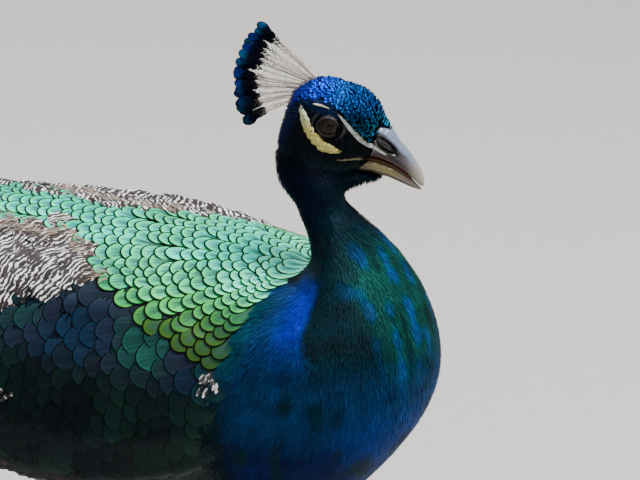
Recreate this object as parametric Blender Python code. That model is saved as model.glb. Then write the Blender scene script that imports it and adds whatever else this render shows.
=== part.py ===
"""Peacock (male Indian peafowl), life size, standing still with its train lying behind it.

Metres, +Z up. The bird faces -Y, its left side is +X, and its soles lie on Z = 0.
Side outlines are written in millimetres from the neck root, the point where the back
of the neck meets the back, as (y, z): y grows towards the train, z grows upwards.
"""
import math

import bmesh
import bpy
import numpy as np
from mathutils import Matrix, Vector

MM = 0.001
BACK_HEIGHT = 430.0     # neck root above the floor
GAP = 0.3               # clearance between neighbouring solids
RING = 18               # points round the trunk, neck and head

HEAD_POINT = (5.0, -5.0, 92.0)     # middle of the head at eye height, from the neck root
HEAD_TURN = math.radians(28)       # the head looks to the bird's left
HEAD_PITCH = math.radians(20)      # and down along the gape
EYE_RADIUS = 8.5
EYE_POINT = (9.6, 2.0, -2.4)      # eyeball centre: from the middle of the head, forward, up
ORBIT_RADIUS = 14.0                # shallow dish round the eye
ORBIT_SIDE = 28.0

# trunk and neck, tail end first: dorsal (y, z), ventral (y, z), half width
BODY = [
    ((338, -26), (330, -58), 20),
    ((308, -14), (296, -86), 42),
    ((262, -2), (245, -122), 64),
    ((200, 6), (186, -156), 78),
    ((128, 9), (124, -176), 84),
    ((66, 8), (52, -176), 86),
    ((24, 4), (-6, -150), 80),
    ((8, 2), (-46, -110), 70),
    ((2, 3), (-70, -66), 58),
    ((-1, 8), (-65, -20), 42),
    ((0, 18), (-51, 8), 31),
    ((5, 29), (-34, 25), 23),
    ((14, 43), (-19, 38), 17.5),
    ((21, 56), (-17, 52), 18),
    ((23, 70), (-12, 68), 16.5),
    ((18, 82), (-6, 80), 11),
    ((12, 88), (0, 86), 4),
]
# head along the gape, back first: dorsal (f, u), ventral (f, u), half width
HEAD = [
    ((-22, 4), (-22, -12), 7),
    ((-21, 9), (-21.5, -23), 12.5),
    ((-14, 17.4), (-15, -33), 16.2),
    ((-4, 21.4), (-4, -37), 17.6),
    ((7, 21.2), (8, -37), 17),
    ((16, 19.2), (18, -33), 14.6),
    ((23.6, 15.2), (25, -28), 11.4),
    ((28.2, 10.2), (29.5, -20), 8),
    ((29.5, 3), (31.5, -12), 4.5),
]
FOREHEAD = [((17, 18), (17, 4), 10), ((28, 11.4), (27, 3), 6.6), ((36.5, 3.8), (35, 1.6), 1.6)]
CHIN = [
    ((12, -20), (10, -48), 12),
    ((24, -22), (22, -44), 9.5),
    ((34, -23), (32, -34), 6),
    ((44, -23.4), (43, -25.6), 1.6),
]
# bill halves: culmen (f, u), cutting edge (f, u), half width
BILL_UPPER = [
    ((18, 6), (18, -18), 9),
    ((28, 5.4), (28, -14.6), 8.2),
    ((36.5, 3.4), (35, -12.9), 7),
    ((42.6, 0), (41, -13.6), 6),
    ((48.8, -3.6), (47, -15.2), 5),
    ((55.8, -8.8), (53, -17.4), 3.8),
    ((61.2, -13.8), (58.4, -20.2), 2.6),
    ((65, -18.6), (62.6, -22.6), 1.5),
    ((66.6, -22.8), (65.2, -23.6), 0.5),
]
BILL_LOWER = [
    ((12, -20.4), (14, -27), 9),
    ((22, -17.2), (24, -24.6), 8),
    ((34, -14), (34, -22.6), 6.8),
    ((44, -15.4), (44, -22.8), 5.2),
    ((54, -19.2), (52, -24.4), 3.4),
    ((60, -22.8), (59, -25.6), 2),
    ((63.6, -25), (63, -25.8), 0.5),
]
# train from the lower back to its rounded end: y, top z, bottom z, half width, droop of the edges
TRAIN = [
    (232, 3, -22, 46, 12),
    (330, -8, -58, 62, 16),
    (450, -30, -84, 75, 18),
    (610, -68, -112, 90, 18),
    (800, -128, -162, 105, 16),
    (1000, -206, -233, 121, 13),
    (1200, -292, -314, 135, 10),
    (1360, -358, -377, 143, 6),
    (1500, -402, -416, 147, 2),
    (1630, -418, -430, 142, 0),
    (1740, -421, -430, 126, 0),
    (1815, -423, -430, 88, 0),
    (1842, -425, -430, 40, 0),
]
TRAIN_CUTS = (560, 860, 1160, 1460)         # y of the cuts between its lengths
TAIL_START, TAIL_END = 300, 725             # stiff tail feathers under the train

# folded wing, bend of the wing first: y, centre x, centre z, half thickness, half height, lean in
WING = [
    (-2, 60, -66, 12, 20, 0.0),
    (22, 64, -64, 24, 40, 0.12),
    (70, 67, -64, 32, 58, 0.26),
    (130, 68, -64, 35, 64, 0.30),
    (200, 66, -65, 34, 58, 0.30),
    (270, 60, -66, 27, 45, 0.24),
    (330, 52, -70, 18, 30, 0.14),
    (385, 44, -78, 9, 17, 0.05),
    (418, 40, -83, 4, 7, 0.0),
]
WING_COVERT_Y = 168                         # coverts in front of it, flight feathers behind
WING_SPLIT = ((168, -84), (418, -78))       # secondaries above this line, primaries below

LEG_X = 46.0
HOCK = (150.0, 152.0)                       # (y, height above the floor)
ANKLE = (116.0, 19.0)
THIGH = [                                   # y, height, sideways half width, fore-aft half width
    (92, 320, 26, 40),
    (100, 272, 25, 38),
    (118, 226, 19, 28),
    (138, 186, 12, 16),
    (148, 164, 9, 10.5),
    (150, 157, 7.5, 8.5),
]
TOES = {                                    # heading from straight ahead, length, root radius
    "middle": (0.0, 66.0, 6.2),
    "inner": (30.0, 47.0, 5.6),
    "outer": (-32.0, 50.0, 5.6),
    "hind": (172.0, 25.0, 4.6),
}
CLAW_LENGTH = {"middle": 15.0, "inner": 13.0, "outer": 13.0, "hind": 12.0}
SPUR_HEIGHT = 60.0
SPUR_LENGTH = 22.0

CREST_COUNT = 12
CREST_ROOT = (-5.0, 14.4)                   # centre of the fan (f, u), inside the crown
CREST_FAN = (math.radians(152), math.radians(219))   # heading of the first and last feather
CREST_LENGTHS = (56.0, 50.0)                # from the fan's centre

CLOTHES = {                                 # material: colour, roughness, metallic
    "blue_neck": ((0.012, 0.045, 0.26), 0.45, 0.25),
    "gold_green_back": ((0.10, 0.33, 0.13), 0.40, 0.35),
    "barred_wing": ((0.42, 0.36, 0.28), 0.75, 0.0),
    "dark_flight": ((0.02, 0.03, 0.04), 0.55, 0.1),
    "chestnut_flight": ((0.25, 0.10, 0.04), 0.65, 0.0),
    "buff_thigh": ((0.42, 0.30, 0.18), 0.85, 0.0),
    "train_green": ((0.07, 0.20, 0.06), 0.45, 0.3),
    "brown_tail": ((0.12, 0.085, 0.055), 0.7, 0.0),
    "horn": ((0.36, 0.33, 0.30), 0.40, 0.0),
    "leg_scale": ((0.20, 0.17, 0.14), 0.60, 0.0),
    "eye": ((0.03, 0.015, 0.008), 0.08, 0.0),
}


def clear_scene():
    for old in list(bpy.data.objects):
        bpy.data.objects.remove(old, do_unlink=True)


def material(name):
    made = bpy.data.materials.new(name)
    made.use_nodes = True
    shader = made.node_tree.nodes["Principled BSDF"]
    colour, roughness, metallic = CLOTHES[name]
    shader.inputs["Base Color"].default_value = (*colour, 1.0)
    shader.inputs["Roughness"].default_value = roughness
    shader.inputs["Metallic"].default_value = metallic
    return made


def smooth_rows(rows, per_span):
    """Catmull-Rom rows through every given row, per_span steps between two of them."""
    rows = np.asarray(rows, float)
    padded = np.vstack([2 * rows[0] - rows[1], rows, 2 * rows[-1] - rows[-2]])
    out = []
    for i in range(len(rows) - 1):
        a, b, c, d = padded[i:i + 4]
        for k in range(per_span):
            t = k / per_span
            out.append(0.5 * (2 * b + (c - a) * t + (2 * a - 5 * b + 4 * c - d) * t * t
                              + (3 * b - 3 * c + d - a) * t ** 3))
    out.append(rows[-1])
    return np.array(out)


def power(value, exponent):
    return math.copysign(abs(value) ** exponent, value)


def outline_rings(stations, per_span, count=RING, belly=0.5, square=2.2):
    """Rings of (side, along, up) points from dorsal point, ventral point and half width."""
    rows = smooth_rows([(*top, *low, half) for top, low, half in stations], per_span)
    rings = []
    for top_a, top_u, low_a, low_u, half in rows:
        ring = []
        for i in range(count):
            angle = 2 * math.pi * (i + 0.5) / count
            side = half * power(math.cos(angle), 2 / square)
            rise = power(math.sin(angle), 2 / square)
            reach = belly + rise * ((1 - belly) if rise > 0 else belly)
            ring.append((side, low_a + (top_a - low_a) * reach, low_u + (top_u - low_u) * reach))
        rings.append(ring)
    return rings


def loft(name, rings, close_tip=False):
    """One closed mesh through the rings, in millimetres, faces outward."""
    bm = bmesh.new()
    loops = [[bm.verts.new(Vector(p) * MM) for p in ring] for ring in rings]
    for one, two in zip(loops, loops[1:]):
        for i in range(len(one)):
            j = (i + 1) % len(one)
            bm.faces.new((one[i], one[j], two[j], two[i]))
    bm.faces.new(loops[0])
    if close_tip:
        tip = bm.verts.new(sum((v.co for v in loops[-1]), Vector()) / len(loops[-1]))
        for i in range(len(loops[-1])):
            bm.faces.new((loops[-1][i], loops[-1][(i + 1) % len(loops[-1])], tip))
    else:
        bm.faces.new(loops[-1])
    bmesh.ops.recalc_face_normals(bm, faces=bm.faces)
    return from_bmesh(name, bm)


def from_bmesh(name, bm):
    mesh = bpy.data.meshes.new(name)
    bm.to_mesh(mesh)
    bm.free()
    made = bpy.data.objects.new(name, mesh)
    bpy.context.scene.collection.objects.link(made)
    return made


def evaluated(source):
    bpy.context.view_layer.update()
    return bpy.data.meshes.new_from_object(source.evaluated_get(bpy.context.evaluated_depsgraph_get()))


def grown(source, distance=GAP):
    """A guide copy of a solid, moved outward by the gap."""
    guide = bpy.data.objects.new(source.name + "_guide", evaluated(source))
    bpy.context.scene.collection.objects.link(guide)
    push = guide.modifiers.new("grow", "DISPLACE")
    push.strength = distance * MM
    push.mid_level = 0.0
    guide.hide_render = True
    guide.display_type = "WIRE"
    return guide


def combine(target, other, operation, keep_other=False):
    """Boolean of two solids, left on the first one's mesh."""
    join = target.modifiers.new("join", "BOOLEAN")
    join.operation = operation
    join.solver = "EXACT"
    join.object = other
    mesh = evaluated(target)
    target.modifiers.remove(join)
    target.data = mesh
    if not keep_other:
        bpy.data.objects.remove(other, do_unlink=True)


def carve(target, *neighbours):
    """Clear a solid of its neighbours, with the gap between them."""
    for neighbour in neighbours:
        combine(target, grown(neighbour), "DIFFERENCE")
    keep_largest(target)


def keep_largest(target):
    """Drop the slivers that a cut leaves beside the solid."""
    bm = bmesh.new()
    bm.from_mesh(target.data)
    left = set(bm.verts)
    islands = []
    while left:
        island = {left.pop()}
        front = list(island)
        while front:
            for edge in front.pop().link_edges:
                for vert in edge.verts:
                    if vert in left:
                        left.remove(vert)
                        island.add(vert)
                        front.append(vert)
        islands.append(island)
    islands.sort(key=len)
    small = [vert for island in islands[:-1] for vert in island]
    bmesh.ops.delete(bm, geom=small, context="VERTS")
    bmesh.ops.dissolve_degenerate(bm, dist=1e-6, edges=bm.edges)
    bm.to_mesh(target.data)
    bm.free()


def part(name, source, cuts, slot):
    """A length of a whole solid: cuts are (point, normal), and the normal's side goes."""
    bm = bmesh.new()
    bm.from_mesh(source.data)
    for point, normal in cuts:
        normal = Vector(normal).normalized()
        cut = bmesh.ops.bisect_plane(
            bm, geom=bm.verts[:] + bm.edges[:] + bm.faces[:], dist=1e-7,
            plane_co=Vector(point) * MM - normal * GAP * MM / 2, plane_no=normal, clear_outer=True)
        rim = [item for item in cut["geom_cut"] if isinstance(item, bmesh.types.BMEdge)]
        bmesh.ops.holes_fill(bm, edges=rim, sides=0)
    bmesh.ops.recalc_face_normals(bm, faces=bm.faces)
    made = from_bmesh(name, bm)
    keep_largest(made)
    return finish(made, slot)


def finish(target, slot):
    target.data.materials.clear()
    target.data.materials.append(MATERIALS[slot])
    target.data.shade_smooth()
    target.data.set_sharp_from_angle(angle=math.radians(40))
    return target


def discard(*things):
    for thing in things:
        bpy.data.objects.remove(thing, do_unlink=True)


def from_neck_root(rings):
    return [[(x, y, z + BACK_HEIGHT) for x, y, z in ring] for ring in rings]


def head_matrix():
    """Head space: +X its right side, +Y forward along the gape, +Z up through the crown."""
    turn = Matrix.Rotation(math.pi + HEAD_TURN, 4, "Z")
    pitch = Matrix.Rotation(-HEAD_PITCH, 4, "X")
    spot = Vector((HEAD_POINT[0], HEAD_POINT[1], HEAD_POINT[2] + BACK_HEIGHT))
    return Matrix.Translation(spot) @ turn @ pitch


def in_head(rings):
    place = head_matrix()
    return [[tuple(place @ Vector(p)) for p in ring] for ring in rings]


def head_and_body():
    """Trunk, neck and head as one solid, before it is parted."""
    whole = loft("whole", from_neck_root(outline_rings(BODY, 2, belly=0.56)))
    skull = loft("skull", in_head(outline_rings(HEAD, 2, 16, belly=0.54)))
    for name, stations in (("forehead", FOREHEAD), ("chin", CHIN)):
        combine(skull, loft(name, in_head(outline_rings(stations, 2, 10))), "UNION")
    orbits(skull)
    combine(whole, skull, "UNION")
    return whole


def ball(name, radius, point):
    """A sphere placed in head space, its poles towards the sides of the head."""
    bm = bmesh.new()
    bmesh.ops.create_uvsphere(bm, u_segments=14, v_segments=8, radius=radius * MM)
    made = from_bmesh(name, bm)
    made.matrix_world = Matrix.Translation(head_matrix() @ Vector(point) * MM) @ (
        head_matrix().to_quaternion().to_matrix().to_4x4() @ Matrix.Rotation(math.pi / 2, 4, "Y"))
    return made


def eye(side, name):
    side_point, forward, up = EYE_POINT
    return finish(ball(name, EYE_RADIUS, (side * side_point, forward, up)), "eye")


def orbits(skull):
    """A shallow dish each side for the eye to sit in."""
    for side in (1, -1):
        combine(skull, ball("orbit", ORBIT_RADIUS, (side * ORBIT_SIDE, *EYE_POINT[1:])), "DIFFERENCE")


def socket(eyeball):
    guide = grown(eyeball)
    guide.matrix_world = eyeball.matrix_world
    return guide


def bill(name, stations, face):
    half = loft(name, in_head(outline_rings(stations, 1, 14, square=2.0)), close_tip=True)
    carve(half, face)
    return finish(half, "horn")


def crest_heading(share):
    return CREST_FAN[0] + (CREST_FAN[1] - CREST_FAN[0]) * share


def crest_spot(share, reach, across=0.0, side=0.0):
    """A point of the fan: reach along the feather at this share of the fan, across its blade."""
    turn = crest_heading(share)
    f = CREST_ROOT[0] + reach * math.cos(turn) - across * math.sin(turn)
    u = CREST_ROOT[1] + reach * math.sin(turn) + across * math.cos(turn)
    return head_matrix() @ Vector((side, f, u)) * MM


def crest():
    """A fan of bare shafts with spoon-shaped tips, grown out of one small root on the crown."""
    bm = bmesh.new()
    pads = []
    for i in range(CREST_COUNT + 1):
        share = (i - 0.5) / (CREST_COUNT - 1)
        rim = crest_rim(share)
        corners = ((-1.4, rim - 6), (1.4, rim - 6), (1.4, rim), (-1.4, rim))
        pads.append([bm.verts.new(crest_spot(share, reach, 0, side)) for side, reach in corners])
    bm.faces.new(pads[0])
    bm.faces.new(pads[-1])
    for one, two in zip(pads, pads[1:]):
        for k in (0, 1, 3):
            bm.faces.new((one[k], one[(k + 1) % 4], two[(k + 1) % 4], two[k]))
    for i, (one, two) in enumerate(zip(pads, pads[1:])):
        share = i / (CREST_COUNT - 1)
        length = CREST_LENGTHS[0] + (CREST_LENGTHS[1] - CREST_LENGTHS[0]) * share
        sway = 3.2 * (1, -1, 0)[i % 3]
        loop = [one[2], one[3], two[3], two[2]]
        for reach, across, thick in ((crest_rim(share) + 1.5, 0.4, 0.4), (length - 14, 0.45, 0.4),
                                     (length - 8, 2.8, 0.8), (length - 2.5, 3.0, 0.8), (length, 1.2, 0.5)):
            drift = sway * reach / length
            ring = [bm.verts.new(crest_spot(share, reach, lean * across, drift + side * thick))
                    for side, lean in ((1, -1), (-1, -1), (-1, 1), (1, 1))]
            for k in range(4):
                bm.faces.new((loop[k], loop[(k + 1) % 4], ring[(k + 1) % 4], ring[k]))
            loop = ring
        bm.faces.new(loop)
    bmesh.ops.recalc_face_normals(bm, faces=bm.faces)
    return from_bmesh("crest", bm)


def crest_rim(share):
    """Radius at which the feathers leave the crown, from the fan's centre."""
    return 11.5 + 13 * max(share, 0.0) ** 1.6


def train_rings(rows, count=18):
    """Flat lens sections with drooping edges, never below the floor."""
    rings = []
    for y, top, low, half, droop in smooth_rows(rows, 2):
        ring = []
        for i in range(count):
            angle = 2 * math.pi * (i + 0.5) / count
            side = math.cos(angle)
            rise = power(math.sin(angle), 0.8)
            z = (top + low) / 2 + rise * (top - low) / 2 - droop * side * side
            ring.append((half * side, y, max(z + BACK_HEIGHT, 0.0)))
        rings.append(ring)
    return rings


def tail_rings():
    """Stiff tail feathers just under the train, as a flat wedge."""
    profile = smooth_rows(TRAIN, 12)
    rings = []
    for k in range(8):
        share = k / 7
        y = TAIL_START + (TAIL_END - TAIL_START) * share
        low = np.interp(y, profile[:, 0], profile[:, 2]) + BACK_HEIGHT - 1.5
        droop = np.interp(y, profile[:, 0], profile[:, 4])
        width = np.interp(y, profile[:, 0], profile[:, 3])
        half = (26 + 34 * share) * (1.0 if k < 7 else 0.8)
        thick = 9 - 6 * share
        ring = []
        for i in range(12):
            angle = 2 * math.pi * (i + 0.5) / 12
            x = half * math.cos(angle)
            depth = thick * (0.5 - 0.5 * math.sin(angle))
            arch = train_underside(x / width) * np.interp(y, profile[:, 0], profile[:, 1] - profile[:, 2])
            ring.append((x, y, low + arch - depth - droop * (x / width) ** 2))
        rings.append(ring)
    return rings


def train_underside(side):
    """Height of the train's underside above its lowest point, as a share of its thickness."""
    return 0.5 - 0.5 * (1 - side * side) ** 0.4


def wing_form(side):
    rings = []
    for y, x, z, thick, height, lean in smooth_rows(WING, 2):
        ring = []
        for i in range(12):
            angle = 2 * math.pi * (i + 0.5) / 12
            across = thick * math.cos(angle)
            rise = height * power(math.sin(angle), 0.85)
            ring.append((side * (x + across - lean * rise), y, z + BACK_HEIGHT + rise))
        rings.append(ring)
    return loft("wing_form", rings)


def wings(body, train_whole):
    front = ((0, WING_COVERT_Y, 0), (0, 1, 0))
    rear = ((0, WING_COVERT_Y, 0), (0, -1, 0))
    (y_a, z_a), (y_b, z_b) = WING_SPLIT
    split_point = (0, y_a, z_a + BACK_HEIGHT)
    upward = Vector((0, -(z_b - z_a), y_b - y_a))
    for side, name in ((1, "left"), (-1, "right")):
        form = wing_form(side)
        carve(form, body, train_whole)
        part("wing_coverts_" + name, form, [front], "barred_wing")
        part("wing_secondaries_" + name, form, [rear, (split_point, -upward)], "dark_flight")
        part("wing_primaries_" + name, form, [rear, (split_point, upward)], "chestnut_flight")
        discard(form)


def tube(name, rows, count, per_span=1, close_tip=False, floor=False):
    """Loft of upright-to-path rings from (x, y, z, side half width, other half width) rows."""
    rows = smooth_rows(rows, per_span)
    centres = rows[:, :3]
    along = np.gradient(centres, axis=0)
    rings = []
    for centre, direction, (half_side, half_other) in zip(centres, along, rows[:, 3:5]):
        forward = Vector(direction).normalized()
        side = forward.cross(Vector((0, 1, 0) if abs(forward.z) > 0.7 else (0, 0, 1))).normalized()
        other = side.cross(forward).normalized()
        ring = []
        for i in range(count):
            angle = 2 * math.pi * (i + 0.5) / count
            spot = Vector(centre) + side * half_side * math.cos(angle) + other * half_other * math.sin(angle)
            if floor:
                spot.z = max(spot.z, 0.0)
            ring.append(tuple(spot))
        rings.append(ring)
    return loft(name, rings, close_tip)


def heading(degrees, side):
    """Horizontal direction of a toe: 0 is straight ahead, positive turns to the inner side."""
    angle = math.radians(degrees)
    return Vector((-side * math.sin(angle), -math.cos(angle), 0.0))


def toe_points(side, name):
    turn, length, radius = TOES[name]
    way = heading(turn, side)
    start = Vector((side * LEG_X, ANKLE[0], 0.0)) + way * 2
    return start, way, length, radius


def toe(side, name):
    """A toe with a swollen pad at each joint and a flat sole."""
    start, way, length, radius = toe_points(side, name)
    rows = []
    steps = 6
    for k in range(steps + 1):
        share = k / steps
        thick = radius * (1 - 0.34 * share) * (1 + 0.09 * math.cos(share * 6 * math.pi))
        if k == steps:
            thick *= 0.7
        spot = start + way * length * share
        rows.append((spot.x, spot.y, thick * 0.78, thick, thick * 0.95))
    return tube("toe_" + name, rows, 8, floor=True)


def claw(side, name, label):
    start, way, length, radius = toe_points(side, name)
    rows = []
    for k in range(5):
        share = k / 4
        spot = start + way * (length + GAP + 0.4 + CLAW_LENGTH[name] * math.sin(share * 1.25))
        thick = 2.7 * (1 - share) ** 0.8 + 0.25
        height = 3.6 * math.cos(share * 1.35) + 0.3
        rows.append((spot.x, spot.y, height, thick * 0.8, thick))
    made = tube(f"claw_{name}_{label}", rows, 7, floor=True)
    return finish(made, "horn")


def shank_axis(share):
    return (ANKLE[0] + (HOCK[0] - ANKLE[0]) * share, ANKLE[1] + (HOCK[1] - ANKLE[1]) * share)


def legs(body):
    for side, label in ((1, "left"), (-1, "right")):
        thigh = tube("thigh_" + label, [(side * LEG_X, y, z, a, b) for y, z, a, b in THIGH], 12, 2)
        carve(thigh, body)
        finish(thigh, "buff_thigh")
        foot = toe(side, "middle")
        foot.name = "foot_" + label
        for name in ("inner", "outer", "hind"):
            combine(foot, toe(side, name), "UNION")
        heel = [(side * LEG_X, ANKLE[0], z, width, width + 0.4)
                for z, width in ((0.0, 8.0), (6.0, 8.6), (13.0, 7.4), (ANKLE[1], 6.4))]
        combine(foot, tube("heel", heel, 10), "UNION")
        carve(foot, shank(side, label))
        finish(foot, "leg_scale")
        for name in TOES:
            claw(side, name, label)


def shank(side, label):
    rows = []
    for share, half_side, half_fore in ((0.0, 6.2, 6.6), (0.12, 5.2, 6.0), (0.5, 5.0, 5.8), (0.82, 5.6, 6.6),
                                        (0.94, 7.4, 8.6), (1.0, 7.2, 8.2)):
        y, z = shank_axis(share)
        rows.append((side * LEG_X, y, z, half_side, half_fore))
    made = tube("shank_" + label, rows, 10, 2)
    finish(made, "leg_scale")
    y, z = shank_axis((SPUR_HEIGHT - ANKLE[1]) / (HOCK[1] - ANKLE[1]))
    inward = Vector((-side * 0.55, 0.80, 0.22)).normalized()
    rows = []
    for k in range(5):
        share = k / 4
        spot = Vector((side * LEG_X, y, z)) + inward * (2.0 + SPUR_LENGTH * share)
        thick = 4.2 * (1 - share) + 0.35
        rows.append((spot.x, spot.y, spot.z + 2.0 * share * share, thick, thick))
    spur = tube("spur_" + label, rows, 7)
    carve(spur, made)
    finish(spur, "horn")
    return made


def beyond(cut):
    """The same cut, keeping the other side."""
    return (cut[0], tuple(-n for n in cut[1]))


def body_cut(y, z, forward, up):
    """A cut across the body, its normal in the upright middle plane of the bird."""
    return ((0, y, z + BACK_HEIGHT), (0, forward, up))


def part_body(whole):
    """Thin cuts divide the flesh where a person would name its parts."""
    throat = body_cut(4, 62, -0.10, 1)
    neck_high = body_cut(-2, 41, -0.22, 1)
    neck_low = body_cut(-17, 22, -0.42, 1)
    chest = body_cut(0, 4, -0.62, 0.78)
    shoulder = body_cut(52, 0, 1, 0.20)
    hips = body_cut(196, 0, 1, 0.05)
    part("head", whole, [beyond(throat)], "blue_neck")
    part("neck_upper", whole, [throat, beyond(neck_high)], "blue_neck")
    part("neck_middle", whole, [neck_high, beyond(neck_low)], "blue_neck")
    part("neck_lower", whole, [neck_low, beyond(chest)], "blue_neck")
    part("breast", whole, [chest, shoulder], "blue_neck")
    part("back", whole, [chest, beyond(shoulder), hips], "gold_green_back")
    part("rump", whole, [beyond(hips)], "gold_green_back")


def train(form):
    names = ("train_root", "train_upper", "train_middle", "train_lower", "train_end")
    edges = (None, *TRAIN_CUTS, None)
    for name, start, stop in zip(names, edges, edges[1:]):
        cuts = []
        if start:
            cuts.append(((0, start, 0), (0, -1, 0)))
        if stop:
            cuts.append(((0, stop, 0), (0, 1, 0)))
        part(name, form, cuts, "train_green")


def stand_on_centre():
    """Hang everything on one empty, so that the origin lies under the middle of the bird."""
    solids = [thing for thing in bpy.data.objects if thing.type == "MESH"]
    bpy.context.view_layer.update()
    lengths = [(thing.matrix_world @ vert.co).y for thing in solids for vert in thing.data.vertices]
    bird = bpy.data.objects.new("bird", None)
    bpy.context.scene.collection.objects.link(bird)
    for thing in solids:
        thing.parent = bird
    bird.location.y = -(min(lengths) + max(lengths)) / 2


clear_scene()
MATERIALS = {name: material(name) for name in CLOTHES}

flesh = head_and_body()
eyes = [eye(-1, "eye_left"), eye(1, "eye_right")]
for eyeball in eyes:
    combine(flesh, socket(eyeball), "DIFFERENCE")
keep_largest(flesh)

bill_upper = bill("bill_upper", BILL_UPPER, flesh)
bill_lower = bill("bill_lower", BILL_LOWER, flesh)
crest_fan = crest()
carve(crest_fan, flesh)
finish(crest_fan, "blue_neck")

train_form = loft("train_form", train_rings(TRAIN))
wings(flesh, train_form)
carve(train_form, flesh)
tail = loft("tail", tail_rings())
carve(tail, flesh)
finish(tail, "brown_tail")
legs(flesh)
part_body(flesh)
train(train_form)
discard(flesh, train_form)
stand_on_centre()
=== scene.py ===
import math
import bpy
import bmesh
import numpy as np
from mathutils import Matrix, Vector
from mathutils.bvhtree import BVHTree


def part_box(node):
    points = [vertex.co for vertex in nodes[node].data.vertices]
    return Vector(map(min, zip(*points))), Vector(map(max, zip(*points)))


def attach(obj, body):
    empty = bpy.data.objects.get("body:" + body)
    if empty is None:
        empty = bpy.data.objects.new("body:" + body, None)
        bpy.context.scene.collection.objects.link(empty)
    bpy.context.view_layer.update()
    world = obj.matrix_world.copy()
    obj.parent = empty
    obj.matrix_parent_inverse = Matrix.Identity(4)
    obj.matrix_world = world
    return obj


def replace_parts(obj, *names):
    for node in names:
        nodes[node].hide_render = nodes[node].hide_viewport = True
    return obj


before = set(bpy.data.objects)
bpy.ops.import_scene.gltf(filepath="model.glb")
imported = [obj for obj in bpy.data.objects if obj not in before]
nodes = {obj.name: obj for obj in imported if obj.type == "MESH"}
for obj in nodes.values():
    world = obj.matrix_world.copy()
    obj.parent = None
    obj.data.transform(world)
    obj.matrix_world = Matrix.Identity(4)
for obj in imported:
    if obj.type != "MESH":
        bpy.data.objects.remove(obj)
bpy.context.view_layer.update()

# Shapes are worked out in millimetres from the neck root, x to the bird's left, y to its tail, z up
mm = 0.001
rng = np.random.default_rng(20)
scene = bpy.context.scene
headPose = {"turn": 28, "pitch": 20, "eyeForward": 2.0, "eyeUp": -2.4, "fromNeckRoot": (5, -5, 92)}


def headFrame():
    turn, pitch = math.radians(headPose["turn"]), math.radians(headPose["pitch"])
    ahead = np.array([math.sin(turn), -math.cos(turn), 0])
    forward = ahead * math.cos(pitch) - np.array([0, 0, math.sin(pitch)])
    up = ahead * math.sin(pitch) + np.array([0, 0, math.cos(pitch)])
    return np.array([np.cross(up, forward), forward, up])


headAxes = headFrame()  # rows: left, forward, up
headOrigin = np.array(headPose["fromNeckRoot"], float)
eyeBoxes = [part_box(name) for name in ("eye_left", "eye_right")]
eyeMiddle = sum((np.array(low) + np.array(high)) / 4 for low, high in eyeBoxes)
eyeOffset = headOrigin + headAxes[1] * headPose["eyeForward"] + headAxes[2] * headPose["eyeUp"]
neckRoot = eyeMiddle - mm * eyeOffset
print("frame loaded, neck root at", np.round(neckRoot, 4))


def toBody(points):
    return (np.asarray(points, float) - neckRoot) / mm


def toWorld(points):
    return neckRoot + np.asarray(points, float) * mm


def inHead(points):
    return (points - headOrigin) @ headAxes.T


def fromHead(points):
    return headOrigin + np.asarray(points, float) @ headAxes


def unit(rows):
    return rows / np.maximum(np.linalg.norm(rows, axis=-1, keepdims=True), 1e-9)


def smooth(low, high, value):
    share = np.clip((value - low) / (high - low), 0, 1)
    return share * share * (3 - 2 * share)


def blend(one, two, share):
    share = np.asarray(share)[..., None]
    return one * (1 - share) + two * share


def sideName(side):
    return "left" if side > 0 else "right"


def ink(code):
    value = np.array([int(code[i:i + 2], 16) for i in (0, 2, 4)]) / 255
    return np.where(value <= 0.04045, value / 12.92, ((value + 0.055) / 1.055) ** 2.4)


# Lays tones over the first one after another, each as strongly as its share says
def layered(tone, *layers):
    for code, share in layers:
        tone = blend(tone, ink(code), share)
    return tone


# A smooth wavy value of about -1 to 1 that wanders over lengths near size
def wander(points, size, seed):
    draw = np.random.default_rng(seed)
    waves = unit(draw.normal(size=(7, 3))) * draw.uniform(0.6, 1.5, (7, 1)) * 2 * math.pi / size
    return np.sin(points @ waves.T + draw.uniform(0, 6.28, 7)).mean(-1) * 1.7


# Surfaces

def faceArrays(mesh):
    points = np.empty(len(mesh.vertices) * 3)
    mesh.vertices.foreach_get("co", points)
    return toBody(points.reshape(-1, 3)), [tuple(face.vertices) for face in mesh.polygons]


def edgeArray(mesh):
    edges = np.empty(len(mesh.edges) * 2, int)
    mesh.edges.foreach_get("vertices", edges)
    return edges.reshape(-1, 2)


# Smooths without shrinking: one pull inwards, then one slightly stronger push out
def relax(points, edges, rounds, share=1.0, back=-0.52):
    count = np.bincount(edges.ravel(), minlength=len(points))[:, None]
    for step in range(rounds * 2):
        total = np.empty_like(points)
        for axis in range(3):
            total[:, axis] = np.bincount(edges[:, 0], points[edges[:, 1], axis], len(points))
            total[:, axis] += np.bincount(edges[:, 1], points[edges[:, 0], axis], len(points))
        pull = (0.5, back)[step % 2] * np.asarray(share)
        points = points + (total / np.maximum(count, 1) - points) * (pull[:, None] if pull.ndim else pull)
    return points


# One closed form over the named nodes: grown a little so that their thin cuts close
def weld(names, grow, cell):
    bm = bmesh.new()
    for name in names:
        bm.from_mesh(nodes[name].data)
    bmesh.ops.remove_doubles(bm, verts=bm.verts, dist=1e-5)
    mesh = bpy.data.meshes.new("weld")
    bm.to_mesh(mesh)
    bm.free()
    thing = bpy.data.objects.new("weld", mesh)
    scene.collection.objects.link(thing)
    if cell:
        push = thing.modifiers.new("push", "DISPLACE")
        push.strength = grow * mm
        push.mid_level = 0
        melt = thing.modifiers.new("melt", "REMESH")
        melt.mode = "VOXEL"
        melt.voxel_size = cell * mm
    bpy.context.view_layer.update()
    made = bpy.data.meshes.new_from_object(thing.evaluated_get(bpy.context.evaluated_depsgraph_get()))
    bpy.data.objects.remove(thing)
    return made


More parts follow.
